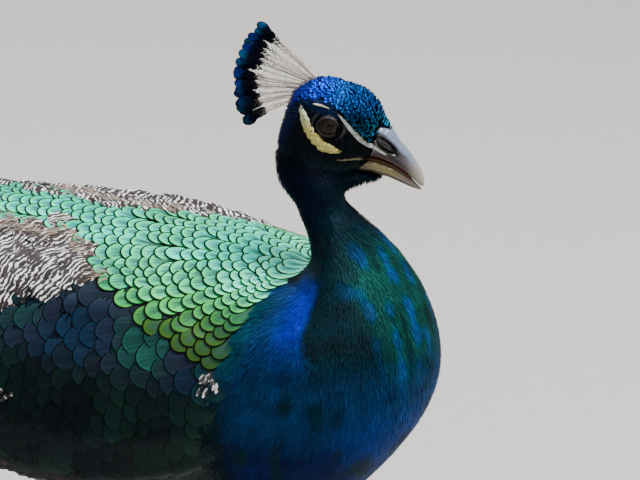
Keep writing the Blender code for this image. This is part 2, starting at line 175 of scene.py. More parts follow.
def weldSmooth(names, grow, cell, rounds):
    mesh = weld(names, grow, cell)
    points, faces = faceArrays(mesh)
    return mesh, relax(points, edgeArray(mesh), rounds), faces


# Puts worked points back into a mesh and empties its material list
def reshape(mesh, points, rounded=True):
    mesh.vertices.foreach_set("co", toWorld(points).astype(np.float32).ravel())
    if rounded:
        mesh.polygons.foreach_set("use_smooth", np.ones(len(mesh.polygons), bool))
    mesh.materials.clear()


# What feathers are laid on: a search tree, its corner normals and its triangles
def surfaceOf(points, faces):
    triangles = np.array([(face[0], face[i], face[i + 1]) for face in faces for i in range(1, len(face) - 1)])
    first, second, third = (points[triangles[:, corner]] for corner in range(3))
    cross = np.cross(second - first, third - first)
    normals = np.zeros_like(points)
    for corner in range(3):
        for axis in range(3):
            normals[:, axis] += np.bincount(triangles[:, corner], cross[:, axis], len(points))
    tree = BVHTree.FromPolygons([tuple(p) for p in points], [tuple(t) for t in triangles.tolist()])
    return {"points": points, "triangles": triangles, "area": np.linalg.norm(cross, axis=1) / 2,
            "normals": unit(normals), "tree": tree}


def middlesOf(surface):
    return surface["points"][surface["triangles"]].mean(1)


def cornerNormals(surface, spots, found):
    corners = surface["triangles"][found]
    far = np.linalg.norm(surface["points"][corners] - spots[:, None], axis=2)
    weight = 1 / (far + 0.2)
    return unit((surface["normals"][corners] * weight[..., None]).sum(1))


# Nearest places of the surface, with smooth normals
def landOn(surface, points):
    flat = np.asarray(points, float).reshape(-1, 3)
    near = surface["tree"].find_nearest
    spots, found = np.empty_like(flat), np.empty(len(flat), int)
    for i, point in enumerate(flat.tolist()):
        hit = near(point)
        spots[i] = hit[0]
        found[i] = hit[2]
    normals = cornerNormals(surface, spots, found)
    return spots.reshape(np.shape(points)), normals.reshape(np.shape(points))


# Where straight lines from the points first meet the surface; a miss keeps its own point
def castOn(surface, points, toward):
    spots = np.array(points, float)
    found, met = np.zeros(len(points), int), np.zeros(len(points), bool)
    for i, point in enumerate(spots.tolist()):
        hit = surface["tree"].ray_cast(point, toward)
        if hit[0] is not None:
            spots[i], found[i], met[i] = hit[0], hit[2], True
    return spots, cornerNormals(surface, spots, found), met


# Turns directions into the surface that the normals stand on
def layFlat(flows, normals):
    return unit(flows - normals * (flows * normals).sum(1, keepdims=True))


# Roots spread evenly over the kept triangles of a surface, about one per spacing
def scatter(surface, spacing, keep):
    share = np.where(keep, surface["area"], 0)
    want = int(share.sum() / spacing ** 2 * 3.2)
    picked = rng.choice(len(share), want, p=share / share.sum())
    a, b = rng.random((2, want, 1))
    a, b = np.where(a + b > 1, 1 - a, a), np.where(a + b > 1, 1 - b, b)
    corners = surface["triangles"][picked]
    weights = np.stack([1 - a - b, a, b], 1)
    points = (surface["points"][corners] * weights).sum(1)
    normals = unit((surface["normals"][corners] * weights).sum(1))
    cells = np.floor(points / spacing).astype(int)
    first = np.unique(cells, axis=0, return_index=True)[1]
    return points[first], normals[first]


# The skin: the flesh nodes welded into one form
skinPlan = {"grow": 0.6, "cell": 2.5, "rounds": 7, "headRounds": 3, "finer": (0.05, 0.35), "skullReach": 2.6,
            "breastRounds": 30, "breastFull": 1.2, "foreheadFull": 1.2, "throatTuck": 3.4, "hindTuck": 2.2}
trunkNodes = ["head", "neck_upper", "neck_middle", "neck_lower", "breast", "back", "rump"]
limbNodes = [f"{part}_{side}" for part in ("wing_coverts", "wing_secondaries", "wing_primaries", "thigh")
             for side in ("left", "right")]


def headShare(points):
    return smooth(-31, -22, inHead(points)[:, 2]) * smooth(40, 60, points[:, 2])


def bodyForm():
    mesh = weld(trunkNodes + limbNodes, skinPlan["grow"], skinPlan["cell"])
    skullPoints, skullFaces = faceArrays(weld(["head"], 0, 0))
    skullTree = BVHTree.FromPolygons([tuple(p) for p in skullPoints], skullFaces)
    for least in skinPlan["finer"]:
        bm = bmesh.new()
        bm.from_mesh(mesh)
        bm.verts.ensure_lookup_table()
        inside = headShare(toBody([v.co for v in bm.verts])) > least
        chosen = [e for e in bm.edges if inside[e.verts[0].index] and inside[e.verts[1].index]]
        bmesh.ops.subdivide_edges(bm, edges=chosen, cuts=1, use_grid_fill=True)
        bm.to_mesh(mesh)
        bm.free()
    points, faces = faceArrays(mesh)
    edges = edgeArray(mesh)
    share = headShare(points)
    points = relax(points, edges, skinPlan["rounds"], np.where(share > 0.3, 0.25, 1.0))
    for i in np.nonzero(share > 0.02)[0]:
        hit = skullTree.find_nearest(tuple(points[i]))
        if hit[3] < skinPlan["skullReach"]:
            points[i] += (np.array(hit[0]) - points[i]) * share[i]
    points = relax(points, edges, skinPlan["headRounds"], np.where(share > 0.02, 1.0, 0.0))
    x, y, z = points.T
    full = smooth(12, -14, z) * smooth(100, 50, y) * smooth(82, 72, np.abs(x))
    points = relax(points, edges, skinPlan["breastRounds"], full, 0.5)
    points = points + surfaceOf(points, faces)["normals"] * (skinPlan["breastFull"] * full)[:, None]
    _, forward, up = inHead(points).T
    swell = smooth(2, 20, forward) * smooth(-2, 6, up) * smooth(42, 34, forward)
    tuck = smooth(10, 24, forward) * smooth(-19, -26, up) * smooth(-78, -50, up)
    outward = unit(points - fromHead(np.array([[0, 4.0, -4.0]])))
    points = points + outward * (skinPlan["foreheadFull"] * swell)[:, None]
    points = points + (headAxes[2] * 0.5 - headAxes[1] * 0.85) * (skinPlan["throatTuck"] * tuck)[:, None]
    hind = smooth(6, 16, points[:, 2]) * smooth(56, 40, points[:, 2]) * smooth(-24, -8, points[:, 1])
    narrower = np.stack([points[:, 0] * 0.14, np.full(len(points), skinPlan["hindTuck"])], 1)
    points[:, :2] -= narrower * hind[:, None]
    return mesh, points, faces


skinMesh, formPoints, formFaces = bodyForm()
form = surfaceOf(formPoints, formFaces)
print("body form", len(formPoints), "points")

# The line that the neck and trunk follow, and the angle round it, give every coat its unwrap
spine = np.array([(0, -10, 110), (0, -2, 85), (0, 0, 60), (0, -3, 42), (0, -14, 27), (0, -24, 10),
                  (0, -30, -12), (0, -25, -40), (0, -5, -62), (0, 30, -72), (0, 80, -80), (0, 150, -75),
                  (0, 230, -60), (0, 320, -40), (0, 420, -60)], float)


def alongSpine(points):
    start, leg = spine[:-1], np.diff(spine, axis=0)
    length = np.linalg.norm(leg, axis=1)
    share = np.clip(((points[:, None] - start) * leg).sum(2) / length ** 2, 0, 1)
    foot = start + share[..., None] * leg
    best = np.linalg.norm(points[:, None] - foot, axis=2).argmin(1)
    rows = np.arange(len(points))
    tangent = leg[best] / length[best][:, None]
    away = points - foot[rows, best]
    dorsal = np.stack([np.zeros(len(points)), -tangent[:, 2], tangent[:, 1]], 1)
    travelled = np.concatenate([[0], np.cumsum(length)])[best] + share[rows, best] * length[best]
    return travelled, np.arctan2(away[:, 0], (away * dorsal).sum(1)), tangent


def unwrap(points):
    travelled, angle, _ = alongSpine(points)
    return np.stack([travelled / 620, angle / (2 * math.pi) + 0.5], 1)


# Which way feathers point: back over the crown, down the neck, then out from its root and on to the tail
def flowAt(points, normals):
    head = inHead(points)
    back = -headAxes[1] - headAxes[2] * (1.3 * smooth(4, -22, head[:, 2]))[:, None]
    down = alongSpine(points)[2]
    outward = unit(points - np.array([0, -22, 58]))
    outward[:, 1] += 0.15 + 0.75 * smooth(20, 190, points[:, 1])
    flow = blend(unit(outward), down, smooth(6, 42, points[:, 2]) * smooth(40, 5, points[:, 1]))
    flow = blend(flow, unit(back), smooth(-32, -14, head[:, 2]) * smooth(45, 60, points[:, 2]))
    return layFlat(flow, normals)


# Shader building blocks

def feed(tree, socket, value):
    if isinstance(value, bpy.types.NodeSocket):
        tree.links.new(value, socket)
    elif isinstance(value, np.ndarray):
        socket.default_value = (*value.tolist(), 1) if socket.type == "RGBA" else value.tolist()
    else:
        socket.default_value = value


def addNode(tree, kind, feeds=(), **settings):
    made = tree.nodes.new("ShaderNode" + kind)
    for name, value in settings.items():
        setattr(made, name, value)
    for socket, value in dict(feeds).items():
        feed(tree, made.inputs[socket], value)
    return made


def maths(tree, operation, one, two=0.0):
    return addNode(tree, "Math", {0: one, 1: two}, operation=operation).outputs[0]


def times(tree, one, two):
    return maths(tree, "MULTIPLY", one, two)


def plus(tree, one, two):
    return maths(tree, "ADD", one, two)


def mixed(tree, share, one, two, mode="MIX"):
    return addNode(tree, "Mix", {0: share, 6: one, 7: two}, data_type="RGBA", blend_type=mode).outputs[2]


def ranged(tree, value, low, high, outLow=0.0, outHigh=1.0):
    feeds = {0: value, 1: low, 2: high, 3: outLow, 4: outHigh}
    return addNode(tree, "MapRange", feeds, interpolation_type="SMOOTHSTEP").outputs[0]


def speckle(tree, scale, detail=2.0, vector=None):
    where = vector or addNode(tree, "TexCoord").outputs["Object"]
    return addNode(tree, "TexNoise", {"Vector": where, "Scale": scale, "Detail": detail}).outputs["Fac"]


def combined(tree, x, y, z=0.0):
    return addNode(tree, "CombineXYZ", {0: x, 1: y, 2: z}).outputs[0]


def newGroup(name, takes, gives):
    tree = bpy.data.node_groups.new(name, "ShaderNodeTree")
    for label, kind in takes:
        tree.interface.new_socket(label, in_out="INPUT", socket_type="NodeSocket" + kind)
    for label, kind in gives:
        tree.interface.new_socket(label, in_out="OUTPUT", socket_type="NodeSocket" + kind)
    return tree, tree.nodes.new("NodeGroupInput").outputs, tree.nodes.new("NodeGroupOutput").inputs


def useGroup(tree, name, feeds):
    made = tree.nodes.new("ShaderNodeGroup")
    made.node_tree = bpy.data.node_groups[name]
    for socket, value in feeds.items():
        feed(tree, made.inputs[socket], value)
    return made.outputs


# Barbs, centre and rim of one vane. Vane holds along, across and a draw for each feather; Edge is in mm
def vaneMarksGroup():
    tree, take, give = newGroup("vaneMarks", [
        ("Tint", "Color"), ("Centre", "Color"), ("Rim", "Color"), ("Glow", "Color"), ("Glow Share", "Float"),
        ("Vane", "Vector"), ("Edge", "Float"),
        ("Centre Share", "Float"), ("Rim Width", "Float"), ("Barbs", "Float"), ("Slant", "Float"),
        ("Fan", "Float"), ("Streak", "Float")], [("Colour", "Color"), ("Height", "Float")])
    split = addNode(tree, "SeparateXYZ", {0: take["Vane"]}).outputs
    side = maths(tree, "ABSOLUTE", split[1])
    straight = maths(tree, "SUBTRACT", split[0], times(tree, side, take["Slant"]))
    fanned = maths(tree, "ARCTAN2", split[1], plus(tree, split[0], 0.25))
    phase = addNode(tree, "Mix", {0: take["Fan"], 2: straight, 3: fanned}).outputs[0]
    spread = combined(tree, times(tree, phase, take["Barbs"]), times(tree, split[2], 37.0), side)
    grain = speckle(tree, 1.0, 2.0, spread)
    dark = ranged(tree, grain, 0.42, 0.62, 1.0, 0.0)
    shaded = mixed(tree, times(tree, dark, take["Streak"]), take["Tint"], take["Centre"])
    inward = ranged(tree, side, 0.0, 0.45, 1.0, 0.0)
    rootward = ranged(tree, split[0], 0.55, 0.97, 1.0, 0.0)
    share = times(tree, times(tree, inward, rootward), take["Centre Share"])
    centred = mixed(tree, share, shaded, take["Centre"])
    band = ranged(tree, take["Edge"], times(tree, take["Rim Width"], 3.2), take["Rim Width"])
    glowing = mixed(tree, 1.0, take["Tint"], take["Glow"], "MULTIPLY")
    centred = mixed(tree, times(tree, band, take["Glow Share"]), centred, glowing)
    inner = times(tree, take["Rim Width"], 0.65)
    feeds = {0: take["Edge"], 1: inner, 2: take["Rim Width"], 3: 1.0, 4: 0.0}
    rim = addNode(tree, "MapRange", feeds).outputs[0]
    feed(tree, give["Colour"], mixed(tree, rim, centred, take["Rim"]))
    feed(tree, give["Height"], grain)


# Broken pale lines in arcs round a place on each wing, shifted a little from feather to feather
def barredGroup():
    tree, take, give = newGroup("barred", [
        ("Vane", "Vector"), ("Pale", "Color"), ("Dark", "Color"), ("Bars", "Float"), ("Paleness", "Float")],
        [("Colour", "Color"), ("Mask", "Float")])
    split = addNode(tree, "SeparateXYZ", {0: take["Vane"]}).outputs
    spot = addNode(tree, "SeparateXYZ", {0: addNode(tree, "TexCoord").outputs["Object"]}).outputs
    folded = combined(tree, maths(tree, "ABSOLUTE", spot[0]), spot[1], spot[2])
    heart = toWorld(np.array([80.0, 66.0, -36.0]))
    far = addNode(tree, "VectorMath", {0: folded, 1: heart}, operation="DISTANCE").outputs["Value"]
    turn = times(tree, far, take["Bars"])
    uneven = ((speckle(tree, 80.0, 2.0), 3.4), (speckle(tree, 380.0, 3.0), 0.8), (split[2], 0.45))
    for part, strength in uneven:
        turn = plus(tree, turn, times(tree, part, strength))
    wave = maths(tree, "SINE", times(tree, turn, 6.283))
    wave = plus(tree, wave, ranged(tree, speckle(tree, 170.0, 2.0), 0.35, 0.65, -0.6, 0.45))
    mask = ranged(tree, plus(tree, wave, take["Paleness"]), -0.12, 0.22)
    feed(tree, give["Colour"], mixed(tree, mask, take["Dark"], take["Pale"]))
    feed(tree, give["Mask"], mask)


vaneMarksGroup()
barredGroup()


def newMaterial(name, metallic, roughness, **fixed):
    made = bpy.data.materials.new(name)
    made.use_nodes = True
    shader = made.node_tree.nodes["Principled BSDF"]
    shader.inputs["Metallic"].default_value = metallic
    shader.inputs["Roughness"].default_value = roughness
    for label, value in fixed.items():
        shader.inputs[label.replace("_", " ")].default_value = value
    return made, made.node_tree, shader.inputs


def bumped(tree, sockets, height, strength, distance=0.0005):
    feeds = {"Height": height, "Strength": strength, "Distance": distance}
    feed(tree, sockets["Normal"], addNode(tree, "Bump", feeds).outputs[0])


def reading(tree, name, output="Color"):
    return addNode(tree, "Attribute", attribute_name=name).outputs[output]


# The piece's own tint, multiplied by a second tone where the mask is 1
def mottled(tree, mask, second):
    tint = reading(tree, "tint")
    return mixed(tree, mask, tint, mixed(tree, 1.0, tint, second, "MULTIPLY"))


def speckledMaterial(name, roughness, grain, one, two, **fixed):
    made, tree, sockets = newMaterial(name, 0.0, roughness, **fixed)
    feed(tree, sockets["Base Color"], mixed(tree, speckle(tree, *grain), one, two))
    return made


plainVane = {"Glow": np.ones(3), "Glow Share": 0.0, "Centre Share": 0.0, "Rim Width": 0.0, "Barbs": 2.0,
             "Slant": 0.4, "Fan": 0.0, "Streak": 0.3}


def vaneMaterial(name, metallic, roughness, marks, bump=0.1, **fixed):
    made, tree, sockets = newMaterial(name, metallic, roughness, **fixed)
    read = {"Tint": reading(tree, "tint"), "Vane": reading(tree, "vane", "Vector"),
            "Edge": reading(tree, "edge", "Fac")}
    out = useGroup(tree, "vaneMarks", {**read, **plainVane, **marks})
    feed(tree, sockets["Base Color"], out["Colour"])
    bumped(tree, sockets, out["Height"], bump)
    return made


# A group's colour times the piece's tint, with its mask or height as the bump
def tintedMaterial(name, metallic, roughness, group, height, feeds):
    made, tree, sockets = newMaterial(name, metallic, roughness)
    out = useGroup(tree, group, feeds(tree))
    feed(tree, sockets["Base Color"], mixed(tree, 1.0, out["Colour"], reading(tree, "tint"), "MULTIPLY"))
    bumped(tree, sockets, out[height], 0.25)
    return made


# Barbs of the train lie on the floor and stay near its edge
settlePlan = {"side": 136, "most": 19, "ease": 24, "floor": -428.6, "uneven": 0.8}


def settle(points):
    beyond = np.abs(points[:, 0]) - settlePlan["side"]
    eased = settlePlan["side"] + settlePlan["most"] * np.tanh(beyond / settlePlan["ease"])
    near = np.where(beyond > 0, eased, np.abs(points[:, 0])) * np.sign(points[:, 0])
    floor = settlePlan["floor"] + settlePlan["uneven"] * np.sin(points[:, 0] * 1.7 + points[:, 1] * 2.3)
    return np.stack([near, points[:, 1], np.maximum(points[:, 2], floor)], 1)


# Makes one piece of the object from points in millimetres and four-cornered faces
def makePiece(name, points, quads, material, slot, uvs=None, **values):
    points = settle(points) if slot == "train_plumage" else points
    mesh = bpy.data.meshes.new(name)
    mesh.vertices.add(len(points))
    mesh.vertices.foreach_set("co", toWorld(points).astype(np.float32).ravel())
    mesh.loops.add(quads.size)
    mesh.loops.foreach_set("vertex_index", quads.ravel().astype(np.int32))
    mesh.polygons.add(len(quads))
    mesh.polygons.foreach_set("loop_start", np.arange(0, quads.size, quads.shape[1], dtype=np.int32))
    mesh.update(calc_edges=True)
    mesh.polygons.foreach_set("use_smooth", np.ones(len(quads), bool))
    return finishPiece(name, mesh, material, slot, uvs[quads.ravel()] if uvs is not None else None, **values)


valueKinds = {"tint": ("FLOAT_COLOR", "color"), "vane": ("FLOAT_VECTOR", "vector"),
              "edge": ("FLOAT", "value")}


# Values are the tint, the place on the vane and the distance from its edge, at every point
def finishPiece(name, mesh, material, slot, cornerUvs=None, **values):
    for label, value in values.items():
        kind, key = valueKinds[label]
        field = mesh.attributes.new(label, kind, "POINT")
        if label == "tint":
            value = np.column_stack([value, np.ones(len(value))])
        field.data.foreach_set(key, value.astype(np.float32).ravel())
    if cornerUvs is not None:
        layer = mesh.uv_layers.new(name="OFBake")
        layer.data.foreach_set("uv", cornerUvs.astype(np.float32).ravel())
    mesh.materials.append(material)
    piece = bpy.data.objects.new(name, mesh)
    scene.collection.objects.link(piece)
    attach(piece, "root")
    print(name, sum(len(face.vertices) - 2 for face in mesh.polygons), "triangles")
    return piece


def gridQuads(count, rows, cols):
    grid = np.arange(rows * cols).reshape(rows, cols)
    quads = np.stack([grid[:-1, :-1], grid[:-1, 1:], grid[1:, 1:], grid[1:, :-1]], -1).reshape(-1, 4)
    return (quads + (np.arange(count) * rows * cols)[:, None, None]).reshape(-1, 4)


# Each feather's patch of the map sits at its root's place on the body's unwrap
def patchUvs(roots, along, across, spot=None):
    spot = unwrap(roots) if spot is None else spot
    low, high = spot.min(0), spot.max(0)
    spot = 0.02 + 0.96 * (spot - low) / np.maximum(high - low, 1e-6)
    size = min(0.02, max(0.003, 0.6 / math.sqrt(len(roots))))
    uvs = np.empty((len(roots),) + np.broadcast(along, across).shape[-2:] + (2,))
    uvs[..., 0] = spot[:, 0, None, None] + size * 0.5 * across
    uvs[..., 1] = spot[:, 1, None, None] + size * (along - 0.5)
    return np.clip(uvs, 0.001, 0.999).reshape(-1, 2)


# Half widths of a vane along its length, as shares of the widest
outlines = {
    "blade": lambda s: np.interp(s, [0, 0.3, 0.6, 0.85, 1], [0.5, 1, 0.95, 0.6, 0.12]),
    "scale": lambda s: np.where(s < 0.58, 0.55 + 0.45 * np.sin(s / 0.58 * math.pi / 2),
                                np.sqrt(np.clip(1 - ((s - 0.58) / 0.425) ** 2, 0.0, 1))),
    "long": lambda s: np.where(s < 0.85, 0.7 + 0.3 * np.clip(s / 0.4, 0, 1),
                               np.sqrt(np.clip(1 - ((s - 0.85) / 0.152) ** 2, 0.02, 1))),
    "tuft": lambda s: np.interp(s, [0, 0.5, 0.8, 1], [0.7, 1, 0.8, 0.3]),
}


def rowsOf(kind, rows):
    share = np.linspace(0, 1, rows)
    return share if kind in ("blade", "tuft") else 1 - (1 - share) ** 1.7


# Distance of each vane point from the vane's outline, in mm, for a feather of the usual size
def edgeDistance(share, spread, along, plan):
    wide, long = plan["widthMean"] / 2, plan["lengthMean"]
    rim = np.stack([np.concatenate([spread[:, 0], [0], spread[::-1, -1]]) * wide,
                    np.concatenate([share, [1.0], share[::-1]]) * long], 1)
    points = np.stack([spread * wide, along * long], -1).reshape(-1, 1, 2)
    start, leg = rim[:-1], np.diff(rim, axis=0)
    share = np.clip(((points - start) * leg).sum(2) / np.maximum((leg ** 2).sum(1), 1e-9), 0, 1)
    return np.linalg.norm(points - start - share[..., None] * leg, axis=2).min(1).reshape(along.shape)


# Lays one kind of feather at the roots. sink and rise are heights at root and tip, in mm over the form
def layFeathers(name, roots, normals, flows, tints, material, slot, plan, drape=None, spot=None):
    plan = {"rows": 3, "cols": 2, "outline": "blade", "sink": 0, "rise": 0, "curl": 0, "camber": 0,
            "aim": 0, "roll": 0, "uneven": 0.15, "shift": 0, **plan}
    count = len(roots)
    length = plan["length"] * (1 + plan["uneven"] * rng.uniform(-1, 1, count))
    width = plan["width"] * (1 + plan["uneven"] * rng.uniform(-1, 1, count)) * np.ones(count)
    side = np.cross(normals, flows)
    aim = plan["aim"] * rng.uniform(-1, 1, count)[:, None]
    roll = plan["roll"] * rng.uniform(-1, 1, count)[:, None]
    flows, side = flows * np.cos(aim) + side * np.sin(aim), side * np.cos(aim) - flows * np.sin(aim)
    side = side * np.cos(roll) + normals * np.sin(roll)
    share = rowsOf(plan["outline"], plan["rows"])
    across = np.linspace(-1, 1, plan["cols"])
    half = outlines[plan["outline"]](share)
    along = np.broadcast_to(share[:, None], (plan["rows"], plan["cols"]))
    spread = half[:, None] * across
    across = np.broadcast_to(across, along.shape)
    edge = edgeDistance(share, spread, along, plan) if "widthMean" in plan else 1 - np.abs(across)
    sideways = (spread[None] * (width / 2)[:, None, None])[..., None]
    lengthways = (along[None] * length[:, None, None])[..., None]
    height = plan["sink"] + (plan["rise"] - plan["sink"]) * along[None] + plan["curl"] * along[None] ** 3
    height = height - plan["camber"] * (np.abs(spread) ** 2)[None]
    height = height + plan["shift"] * rng.uniform(-1, 1, (count, 1, 1))
    points = roots[:, None, None] + flows[:, None, None] * lengthways + side[:, None, None] * sideways
    if drape is None:
        points = points + normals[:, None, None] * height[..., None]
    else:
        spots, upward = landOn(drape, points)
        points = spots + upward * height[..., None]
    draw = rng.random(count)
    vane = np.stack(np.broadcast_arrays(along[None], spread[None], draw[:, None, None]), -1)
    size = plan["rows"] * plan["cols"]
    quads = gridQuads(count, plan["rows"], plan["cols"])
    return makePiece(name, points.reshape(-1, 3), quads, material, slot, patchUvs(roots, along, across, spot),
                     tint=np.repeat(tints, size, axis=0), vane=vane.reshape(-1, 3),
                     edge=np.tile(edge.ravel(), count))


# Which CAD node each triangle of the form came from
def nearestNodes(surface, names):
    points, triangles, owner = [], [], []
    for number, name in enumerate(names):
        own, faces = faceArrays(nodes[name].data)
        triangles += [tuple(i + len(points) for i in face) for face in faces]
        points += [tuple(p) for p in own]
        owner += [number] * len(faces)
    tree = BVHTree.FromPolygons(points, triangles)
    middle = middlesOf(surface)
    return middle, np.array([names[owner[tree.find_nearest(tuple(p))[2]]] for p in middle])


middle, owner = nearestNodes(form, trunkNodes + limbNodes)
onWing = np.char.startswith(owner, "wing")
onThigh = np.char.startswith(owner, "thigh")
print("zones found")


# Where each kind of plumage lies
scaleEdge = {"y": [0, 30, 55, 70, 88, 103, 122, 148, 174, 200, 340],
             "right": [70, 80, 81, 78, 70, 56, 40, 30, 28, 28, 27],
             "left": [70, 78, 52, 30, 22, 17, 12, 11, 16, 24, 27],
             "low": [(8, -46), (16, -36), (43, -24), (69, -15), (86, -9), (110, -20), (130, -46)]}


# How far inside the edge of the scale feathers a place lies; below 0 it is outside
def scaleMargin(points):
    x, y, z = np.abs(points[:, 0]), points[:, 1], points[:, 2]
    z = np.where(z > 15, -99, z)  # the neck
    behind = y - np.maximum(-4 + 0.26 * x, 10 - x * 0.6)
    half = [np.interp(y, scaleEdge["y"], scaleEdge[key]) for key in ("right", "left")]
    within = np.where(points[:, 0] < 0, *half) - x
    low = np.interp(y, *zip(*scaleEdge["low"]))
    return np.minimum(np.minimum(behind, within), np.where(z > low, 50.0, -5.0))


# Blue of the neck and breast, with painted light in it: a painted teal sheen with blue patches on the lit
# front of the neck, and painted shade in the dark navy left on the neck's side and in the near black over its
# upper part. These dark parts are also the plumage's own dark tone
def neckTint(points):
    x, y, z = points.T
    side = np.abs(x)
    patches, spots = wander(points, 19, 3), wander(points, 24, 5)
    # Painted sheen of the lit neck front: teal with blue and darker patches
    lit = layered(ink("04524a"), ("0a5898", smooth(-0.1, -0.7, patches)),
                  ("022c30", smooth(0.3, 0.9, patches) * 0.8))
    low = smooth(-22, -52, z)
    deep = blend(ink("033a6a"), ink("02154a"), smooth(-56, -92, z))
    soft = 12 * smooth(-14, -34, z)
    shoulder = smooth(22, 32, side) * smooth(-50, -20, z) * smooth(14, 4, z) * smooth(-25 - soft, -19, y)
    beside = smooth(-13, -2, scaleMargin(points)) * smooth(30, 44, side) * smooth(-50, -30, z)
    # Dark navy behind, dark teal in front: the neck's own tones, kept dark on its side as painted shade
    tone = blend(ink("040e2e"), ink("02222c"), smooth(12, -14, y + 0.2 * z))
    tone = blend(tone, lit, smooth(38, 16, side) * smooth(-22, -44, y) * smooth(80, 40, z))
    tone = layered(blend(tone, deep, low * 0.9),
                   ("0546a6", smooth(-50, -76, z) * smooth(-36, -62, y) * 0.5),
                   ("01241c", low * smooth(0.2, 0.8, spots) * 0.75),
                   ("0a4484", shoulder * 0.85),
                   ("0a2cb4", shoulder * smooth(-3, -15, y) * smooth(-34, -14, z)),
                   ("022850", shoulder * smooth(-10, -28, z) * 0.85),
                   ("074450", beside * 0.9),
                   # Near black over the upper neck: its own dark tone and painted shade
                   ("01080d", smooth(48, 76, z) * 0.85),
                   ("01100f", smooth(26, 60, y) * 0.9),
                   ("011412", smooth(2, 16, y) * smooth(-36, -52, z) * smooth(60, 78, side) * 0.9))
    return tone * (1 + 0.25 * wander(points, 17, 4))[:, None]


# Gold low on the sides, mint to cyan over the shoulders and along the middle, teal further back. The top and
# the part near the neck are made brighter and more cyan as painted highlight, partly their own colour, and
# the low front is made darker as painted shade
def scaleTint(points):
    _, y, z = points.T
    besideBreast = smooth(15, 5, scaleMargin(points)) * smooth(36, 12, y) * smooth(-26, -6, -z - 32)
    tone = layered(ink("3cf8c8"),
                   ("3ce88e", smooth(-3, -15, z)),
                   ("3a6c22", smooth(-8, -30, z)),
                   ("24ffe6", smooth(-3, 5, z) * (1 - 0.6 * smooth(82, 100, y) * smooth(152, 128, y))),
                   ("0ce6d6", smooth(110, 165, y)),
                   ("54ffe2", smooth(62, 30, y) * smooth(-13, -3, z)),
                   ("128f8c", besideBreast * 0.8))
    # Painted highlight over the top and near the neck (lit), and painted shade low at the front (dim)
    lit = 0.55 * smooth(66, 34, y) * smooth(-13, -3, z) + 0.5 * smooth(-4, 5, z)
    lit += 0.35 * smooth(96, 72, y) * smooth(-2, 6, z)
    dim = 0.34 * smooth(52, 30, y) * smooth(-4, -16, z)
    return tone * (1 + 0.16 * wander(points, 30, 7) + lit - dim)[:, None]


def covertTint(points):
    _, y, z = points.T
    patches = wander(points, 58, 11)
    tone = layered(ink("2c3448"), ("22685c", smooth(-0.1, 0.9, patches)),
                   ("1c3856", smooth(0.1, -0.9, patches)), ("22685c", smooth(45, 20, y) * 0.6))
    # Near black towards the bottom: the lower coverts' own dark tone and painted shade of the wing's lower
    # side
    black = blend(ink("020c09"), ink("08281f"), smooth(-0.3, 0.9, wander(points, 52, 12)))
    return blend(tone, black, smooth(-36, -62, z) * 0.94)


def skinTint(points):
    tone = neckTint(points) * 0.6
    back = smooth(-2, 4, scaleMargin(points))
    tone = blend(tone, scaleTint(points) * 0.12, back)
    wing = smooth(78, 90, np.abs(points[:, 0]) + 0.1 * points[:, 1]) * smooth(16, 26, points[:, 1])
    return blend(tone, ink("1a1512"), np.maximum(wing, smooth(60, 100, points[:, 1]) * (1 - back)))


# Depth of the coat under the outer form
def coatDepth(points):
    head = inHead(points)
    depth = 1.4 + 1.0 * smooth(62, 90, points[:, 1]) * smooth(380, 330, points[:, 1])
    return depth + (0.8 - depth) * smooth(-38, -20, head[:, 2]) * smooth(35, 60, points[:, 2])


def skinPiece():
    reshape(skinMesh, form["points"] - form["normals"] * coatDepth(form["points"])[:, None])
    uvs = unwrap(form["points"])
    corner = np.empty(len(skinMesh.loops), int)
    skinMesh.loops.foreach_get("vertex_index", corner)
    starts = np.empty(len(skinMesh.polygons), int)
    skinMesh.polygons.foreach_get("loop_start", starts)
    faceOf = np.repeat(np.arange(len(starts)), np.diff(np.append(starts, len(corner))))
    across = uvs[corner, 1]
    widest = np.maximum.reduceat(across, starts)[faceOf]
    across = np.where((widest - across > 0.5), across + 1, across)  # faces over the unwrap's cut
    cornerUvs = np.stack([uvs[corner, 0], across / 1.06], 1)
    made, tree, sockets = newMaterial("downySkin", 0.0, 0.9, Specular_IOR_Level=0.1)
    tint = reading(tree, "tint")
    darker = mixed(tree, 0.5, tint, np.zeros(3))
    feed(tree, sockets["Base Color"], mixed(tree, speckle(tree, 900.0), tint, darker))
    bumped(tree, sockets, speckle(tree, 1400.0, 3.0), 0.5)
    skin = finishPiece("skin", skinMesh, made, "neck_plumage", cornerUvs, tint=skinTint(form["points"]))
    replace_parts(skin, *trunkNodes, *limbNodes)


skinPiece()

# Hair-like plumage of the neck and breast
neckPlan = {"spacing": 1.0, "rows": 3, "cols": 2, "length": 5.6, "width": 0.68, "sink": -1.5, "rise": -0.1,
            "aim": 0.08, "roll": 0.15, "uneven": 0.25,
            "breastTop": -18, "breastSpacing": 1.18, "breastWidth": 1.25}
neckStuff = vaneMaterial("neckPlumage", 0.45, 0.6, {
    "Centre": ink("010610"), "Rim": ink("010610"), "Streak": 0.25}, Specular_IOR_Level=0.12)


def neckPlumage():
    top = neckPlan["breastTop"]
    blue = (scaleMargin(middle) < 1.5) & ~(onWing & (middle[:, 1] > 20)) & ~onThigh & (middle[:, 1] < 62)
    blue &= inHead(middle)[:, 2] < -18
    for name, keep, apart in (("neckCoat", blue & (middle[:, 2] > top), 1.0),
                              ("breastCoat", blue & (middle[:, 2] <= top), neckPlan["breastSpacing"])):
        roots, normals = scatter(form, neckPlan["spacing"] * apart, keep)
        wide = np.where(roots[:, 2] > top, 1.0, neckPlan["breastWidth"])
        tint = neckTint(roots) * rng.uniform(0.75, 1.3, (len(roots), 1))
        close = 0.55 + 0.2 * smooth(-22, -42, inHead(roots)[:, 2]) + 0.25 * smooth(90, 40, roots[:, 2])
        plan = {**neckPlan, "length": neckPlan["length"] * close * wide, "width": neckPlan["width"] * wide}
        layFeathers(name, roots, normals, flowAt(roots, normals), tint, neckStuff, "neck_plumage", plan)


neckPlumage()

